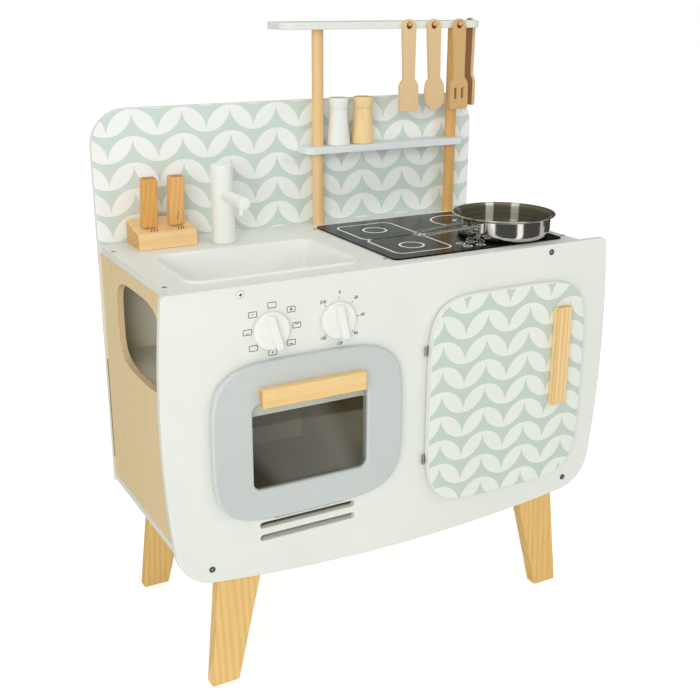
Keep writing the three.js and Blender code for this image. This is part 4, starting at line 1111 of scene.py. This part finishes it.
# ---------------------------------------------------------------- pan
def build_pan():
    low, high, mid = span("pan_body")
    x, y, z = mid.x, mid.y, low.z
    rim, wall, base, height, sheet = 0.0658, 0.0598, 0.0558, high.z - low.z, 0.0012
    profile = [(0, 0.0006), (base - 0.010, 0.0006), (base - 0.008, 0.0), (base - 0.003, 0.0), (base, 0.0006),
               (base + 0.0022, 0.0022), (base + 0.0037, 0.0045), (wall - 0.0003, 0.0075), (wall, 0.011),
               (wall, height - 0.0042), (wall + 0.0006, height - 0.0028), (rim - 0.003, height - 0.0021),
               (rim - 0.0012, height - 0.0021), (rim - 0.0003, height - 0.0016), (rim, height - 0.0009),
               (rim - 0.0004, height - 0.0002), (rim - 0.0014, height), (rim - 0.0030, height - 0.0003),
               (wall + 0.0012, height - 0.0012), (wall - sheet + 0.0004, height - 0.0028),
               (wall - sheet, height - 0.0045), (wall - sheet, 0.0112), (wall - sheet - 0.0006, 0.0080),
               (base + 0.0018, 0.0045), (base - 0.001, 0.0022), (base - 0.005, 0.0014), (0, 0.0014)]
    shell = add("pan_shell", turned_mesh(profile, 144, (x, y, z)), polished, "pan", "pan_body",
                sharp=60)
    # The inner faces get the lining with painted reflections.
    shell.data.materials.append(painted_reflection_lining("pan_lining_painted_reflections"))
    for face in shell.data.polygons:
        inward = (face.center.x - x) * face.normal.x + (face.center.y - y) * face.normal.y < -0.01
        face.material_index = int(inward or (face.normal.z > 0.9 and face.center.z < z + 0.01))
    turn = move(x, y, z + 0.0224) @ spin(197.5, "Z")
    start, length, spread, tip = 0.0688, 0.102, 0.012, 0.008
    end = start + length
    half_way = start + 0.5 * length
    left = [(start, -spread, 0), (start + 0.020, -spread, 0), (half_way, -spread * 0.85, 0.002),
            (end - 0.016, -tip * 1.1, 0.003), (end - 0.003, -tip * 0.85, 0.003)]
    path = left + [(end, 0, 0.003)] + [(u, -v, w) for u, v, w in reversed(left)]
    wire = wire_mesh(path, 0.0020)
    wire.transform(turn)
    add("pan_handle_wire", wire, wire_steel, "pan", "pan_handle", sharp=60)
    add("pan_bracket_plate", refined("pan_bracket", 0.0006), polished, "pan", "pan_bracket")
    rivets = []
    for side in (-1, 1):
        head = turned_mesh([(0, -0.001), (0.0034, -0.001), (0.0034, 0), (0.0031, 0.0007), (0.0020, 0.0013),
                            (0, 0.0015)], 24)
        head.transform(turn @ move(start - 0.0006, side * 0.0085, -0.0055) @ spin(90, "Y"))
        rivets.append(head)
    add("pan_rivets", joined(rivets), polished, "pan", sharp=60)


# ---------------------------------------------------------------- dial print
def digits(text, size):
    """Numbers of a dial scale, as flat meshes centred on the origin."""
    curve = bpy.data.curves.new("number", "FONT")
    curve.body = text
    curve.size = size
    curve.align_x = "CENTER"
    curve.align_y = "CENTER"
    curve.resolution_u = 3
    curve.offset = 0.00013
    return from_curve(curve)


def across(angle, reach):
    """The two ends of a line through the origin."""
    c, s = reach * math.cos(math.radians(angle)), reach * math.sin(math.radians(angle))
    return [(-c, -s), (c, s)]


MARKS = {
    "plain": [],
    "fan": [([(0, -0.0016), (0, 0.0016)], 0.0008), ([(-0.0014, 0.0008), (0.0014, -0.0008)], 0.0007),
            ([(-0.0014, -0.0008), (0.0014, 0.0008)], 0.0007)],
    "wave": [([(-0.0020, 0), (-0.0010, 0.0005), (0, 0), (0.0010, 0.0005), (0.0020, 0)], 0.0005)],
    "top": [([(-0.0024, 0.0015), (0.0024, 0.0015)], 0.0008)],
    "bottom": [([(-0.0024, -0.0014), (0.0024, -0.0014)], 0.0008)],
    "low": [([(-0.0020, -0.0015), (0.0020, -0.0015)], 0.0006)],
    "snow": [(across(angle, 0.0014), 0.0005) for angle in (0, 60, 120)],
}


def pictogram(kind):
    """Oven mode signs: a rounded window with a simple generic mark inside."""
    parts = [flat_line(round_rect(-0.0049, -0.0031, 0.0049, 0.0031, 0.0010, 4), 0.0008, True)]
    parts += [flat_line(points, width) for points, width in MARKS[kind]]
    return joined(parts)


def build_dials():
    y = span("front_panel")[0].y - 0.00005
    pieces = []

    def stick(data, x, z):
        data.transform(move(x, y, z) @ FACING)
        pieces.append(data)

    modes = ("plain", "fan", "top", "bottom", "snow", "plain", "low", "wave")
    degrees = ("0", "30", "60", "90", "120", "150", None, "210")
    for i, (mode, number) in enumerate(zip(modes, degrees)):
        a = math.radians(90 - 45 * i)
        c, s = math.cos(a), math.sin(a)
        stick(pictogram(mode), -0.174 + (0.0325 if i % 2 else 0.0296) * c, 0.4378 + 0.0270 * s)
        if number:
            stick(digits(number, 0.0052), -0.0905 + 0.0297 * c, 0.4382 + 0.0300 * s)
            stick(flat_line([(0.0228 * c, 0.0228 * s), (0.0258 * c, 0.0258 * s)], 0.0007), -0.0915, 0.4376)
    data = joined(pieces)
    for poly in data.polygons:
        if poly.normal.y > 0:
            poly.flip()
    add("dial_print", data, dial_ink, "cabinet")


# ---------------------------------------------------------------- stage, light and camera
def build_stage():
    floor = linked("floor", flat_area(rect(-FLOOR_REACH, -FLOOR_REACH, FLOOR_REACH, FLOOR_REACH)))
    g = Graph("floor_paper")
    cloud = g.noise(g.place(seeded=False), 2.0, 2.0)
    path = g.node("LightPath").outputs
    at = g.xyz(g.place(seeded=False))
    strips = studio_strips(g, g.math("ARCTAN2", at[1], at[0]))
    paper = g.mix(cloud, (0.90, 0.90, 0.895, 1), (0.92, 0.92, 0.915, 1))
    glow = g.plus(g.times(path["Is Camera Ray"], 0.5),
                  g.times(path["Is Glossy Ray"], strips))
    g.surface(Base_Color=g.mix(path["Is Glossy Ray"], paper, (0.02, 0.02, 0.018, 1)), Roughness=0.9,
              Specular_IOR_Level=0.1, Emission_Color=(1, 1, 1, 1), Emission_Strength=glow)
    floor.data.materials.append(g.material)


def area_light(name, at, towards, size, power, colour=(1, 1, 1)):
    light = bpy.data.lights.new(name, "AREA")
    light.shape = "RECTANGLE"
    light.size, light.size_y = size
    light.energy = power
    light.color = colour
    thing = linked(name, light)
    thing.location = at
    thing.rotation_euler = (Vector(towards) - Vector(at)).to_track_quat("-Z", "Y").to_euler()
    thing.visible_camera = False
    thing.visible_glossy = False


def build_light():
    """Soft room light, a large key from the left, and bright strips that only polished metal sees."""
    world = bpy.data.worlds.new("studio")
    world.use_nodes = True
    SCENE.world = world
    g = Graph("studio", world.node_tree)
    background = g.tree.nodes["Background"]
    path = g.node("LightPath").outputs
    way = g.xyz(g.node("TexCoord").outputs["Generated"])
    wall = g.times(studio_strips(g, g.math("ARCTAN2", way[1], way[0])),
                  g.remap(way[2], 0.85, 0.6, 0.6, 1.0, smooth=True))
    wall = g.plus(wall, g.remap(way[2], 0.78, 0.95, 0.0, 1.1, smooth=True))
    mirror = g.node("CombineXYZ", {0: wall, 1: wall, 2: g.times(wall, 0.97)}).outputs[0]
    soft = g.mix(g.remap(way[0], -0.6, 0.8), (0.62, 0.62, 0.61, 1), (0.50, 0.51, 0.52, 1))
    light = g.mix(path["Is Glossy Ray"], soft, mirror)
    g.put(background.inputs[0], g.mix(path["Is Camera Ray"], light, (1.0, 1.0, 1.0, 1)))
    background.inputs[1].default_value = 1.0
    area_light("key", (-2.2, -2.7, 1.3), (0, 0, 0.35), (1.8, 1.6), 46, (0.985, 1.0, 0.985))
    area_light("side", (2.3, -2.6, 2.0), (0, 0, 0.5), (0.6, 0.6), 13)
    area_light("top", (0.2, 0.2, 2.8), (0, 0, 0.3), (2.4, 2.0), 11)


def build_camera():
    camera = bpy.data.cameras.new("camera")
    camera.sensor_width = 36.0
    camera.lens = 53.885
    camera.clip_end = 100
    thing = linked("camera", camera)
    thing.location = (-0.62822, -1.11830, 0.78670)
    thing.rotation_euler = [math.radians(angle) for angle in (71.0916, -0.3072, -28.936)]
    SCENE.camera = thing


for build in (build_stage, build_light, build_camera, build_front_panel, build_back_panel, build_side_panels,
              build_boards, build_legs, build_screws, build_doors, build_knobs, build_basin, build_hob,
              build_tap, build_knives, build_rack, build_tools, build_mills, build_pan, build_dials):
    build()

SCENE.view_settings.view_transform = "Standard"
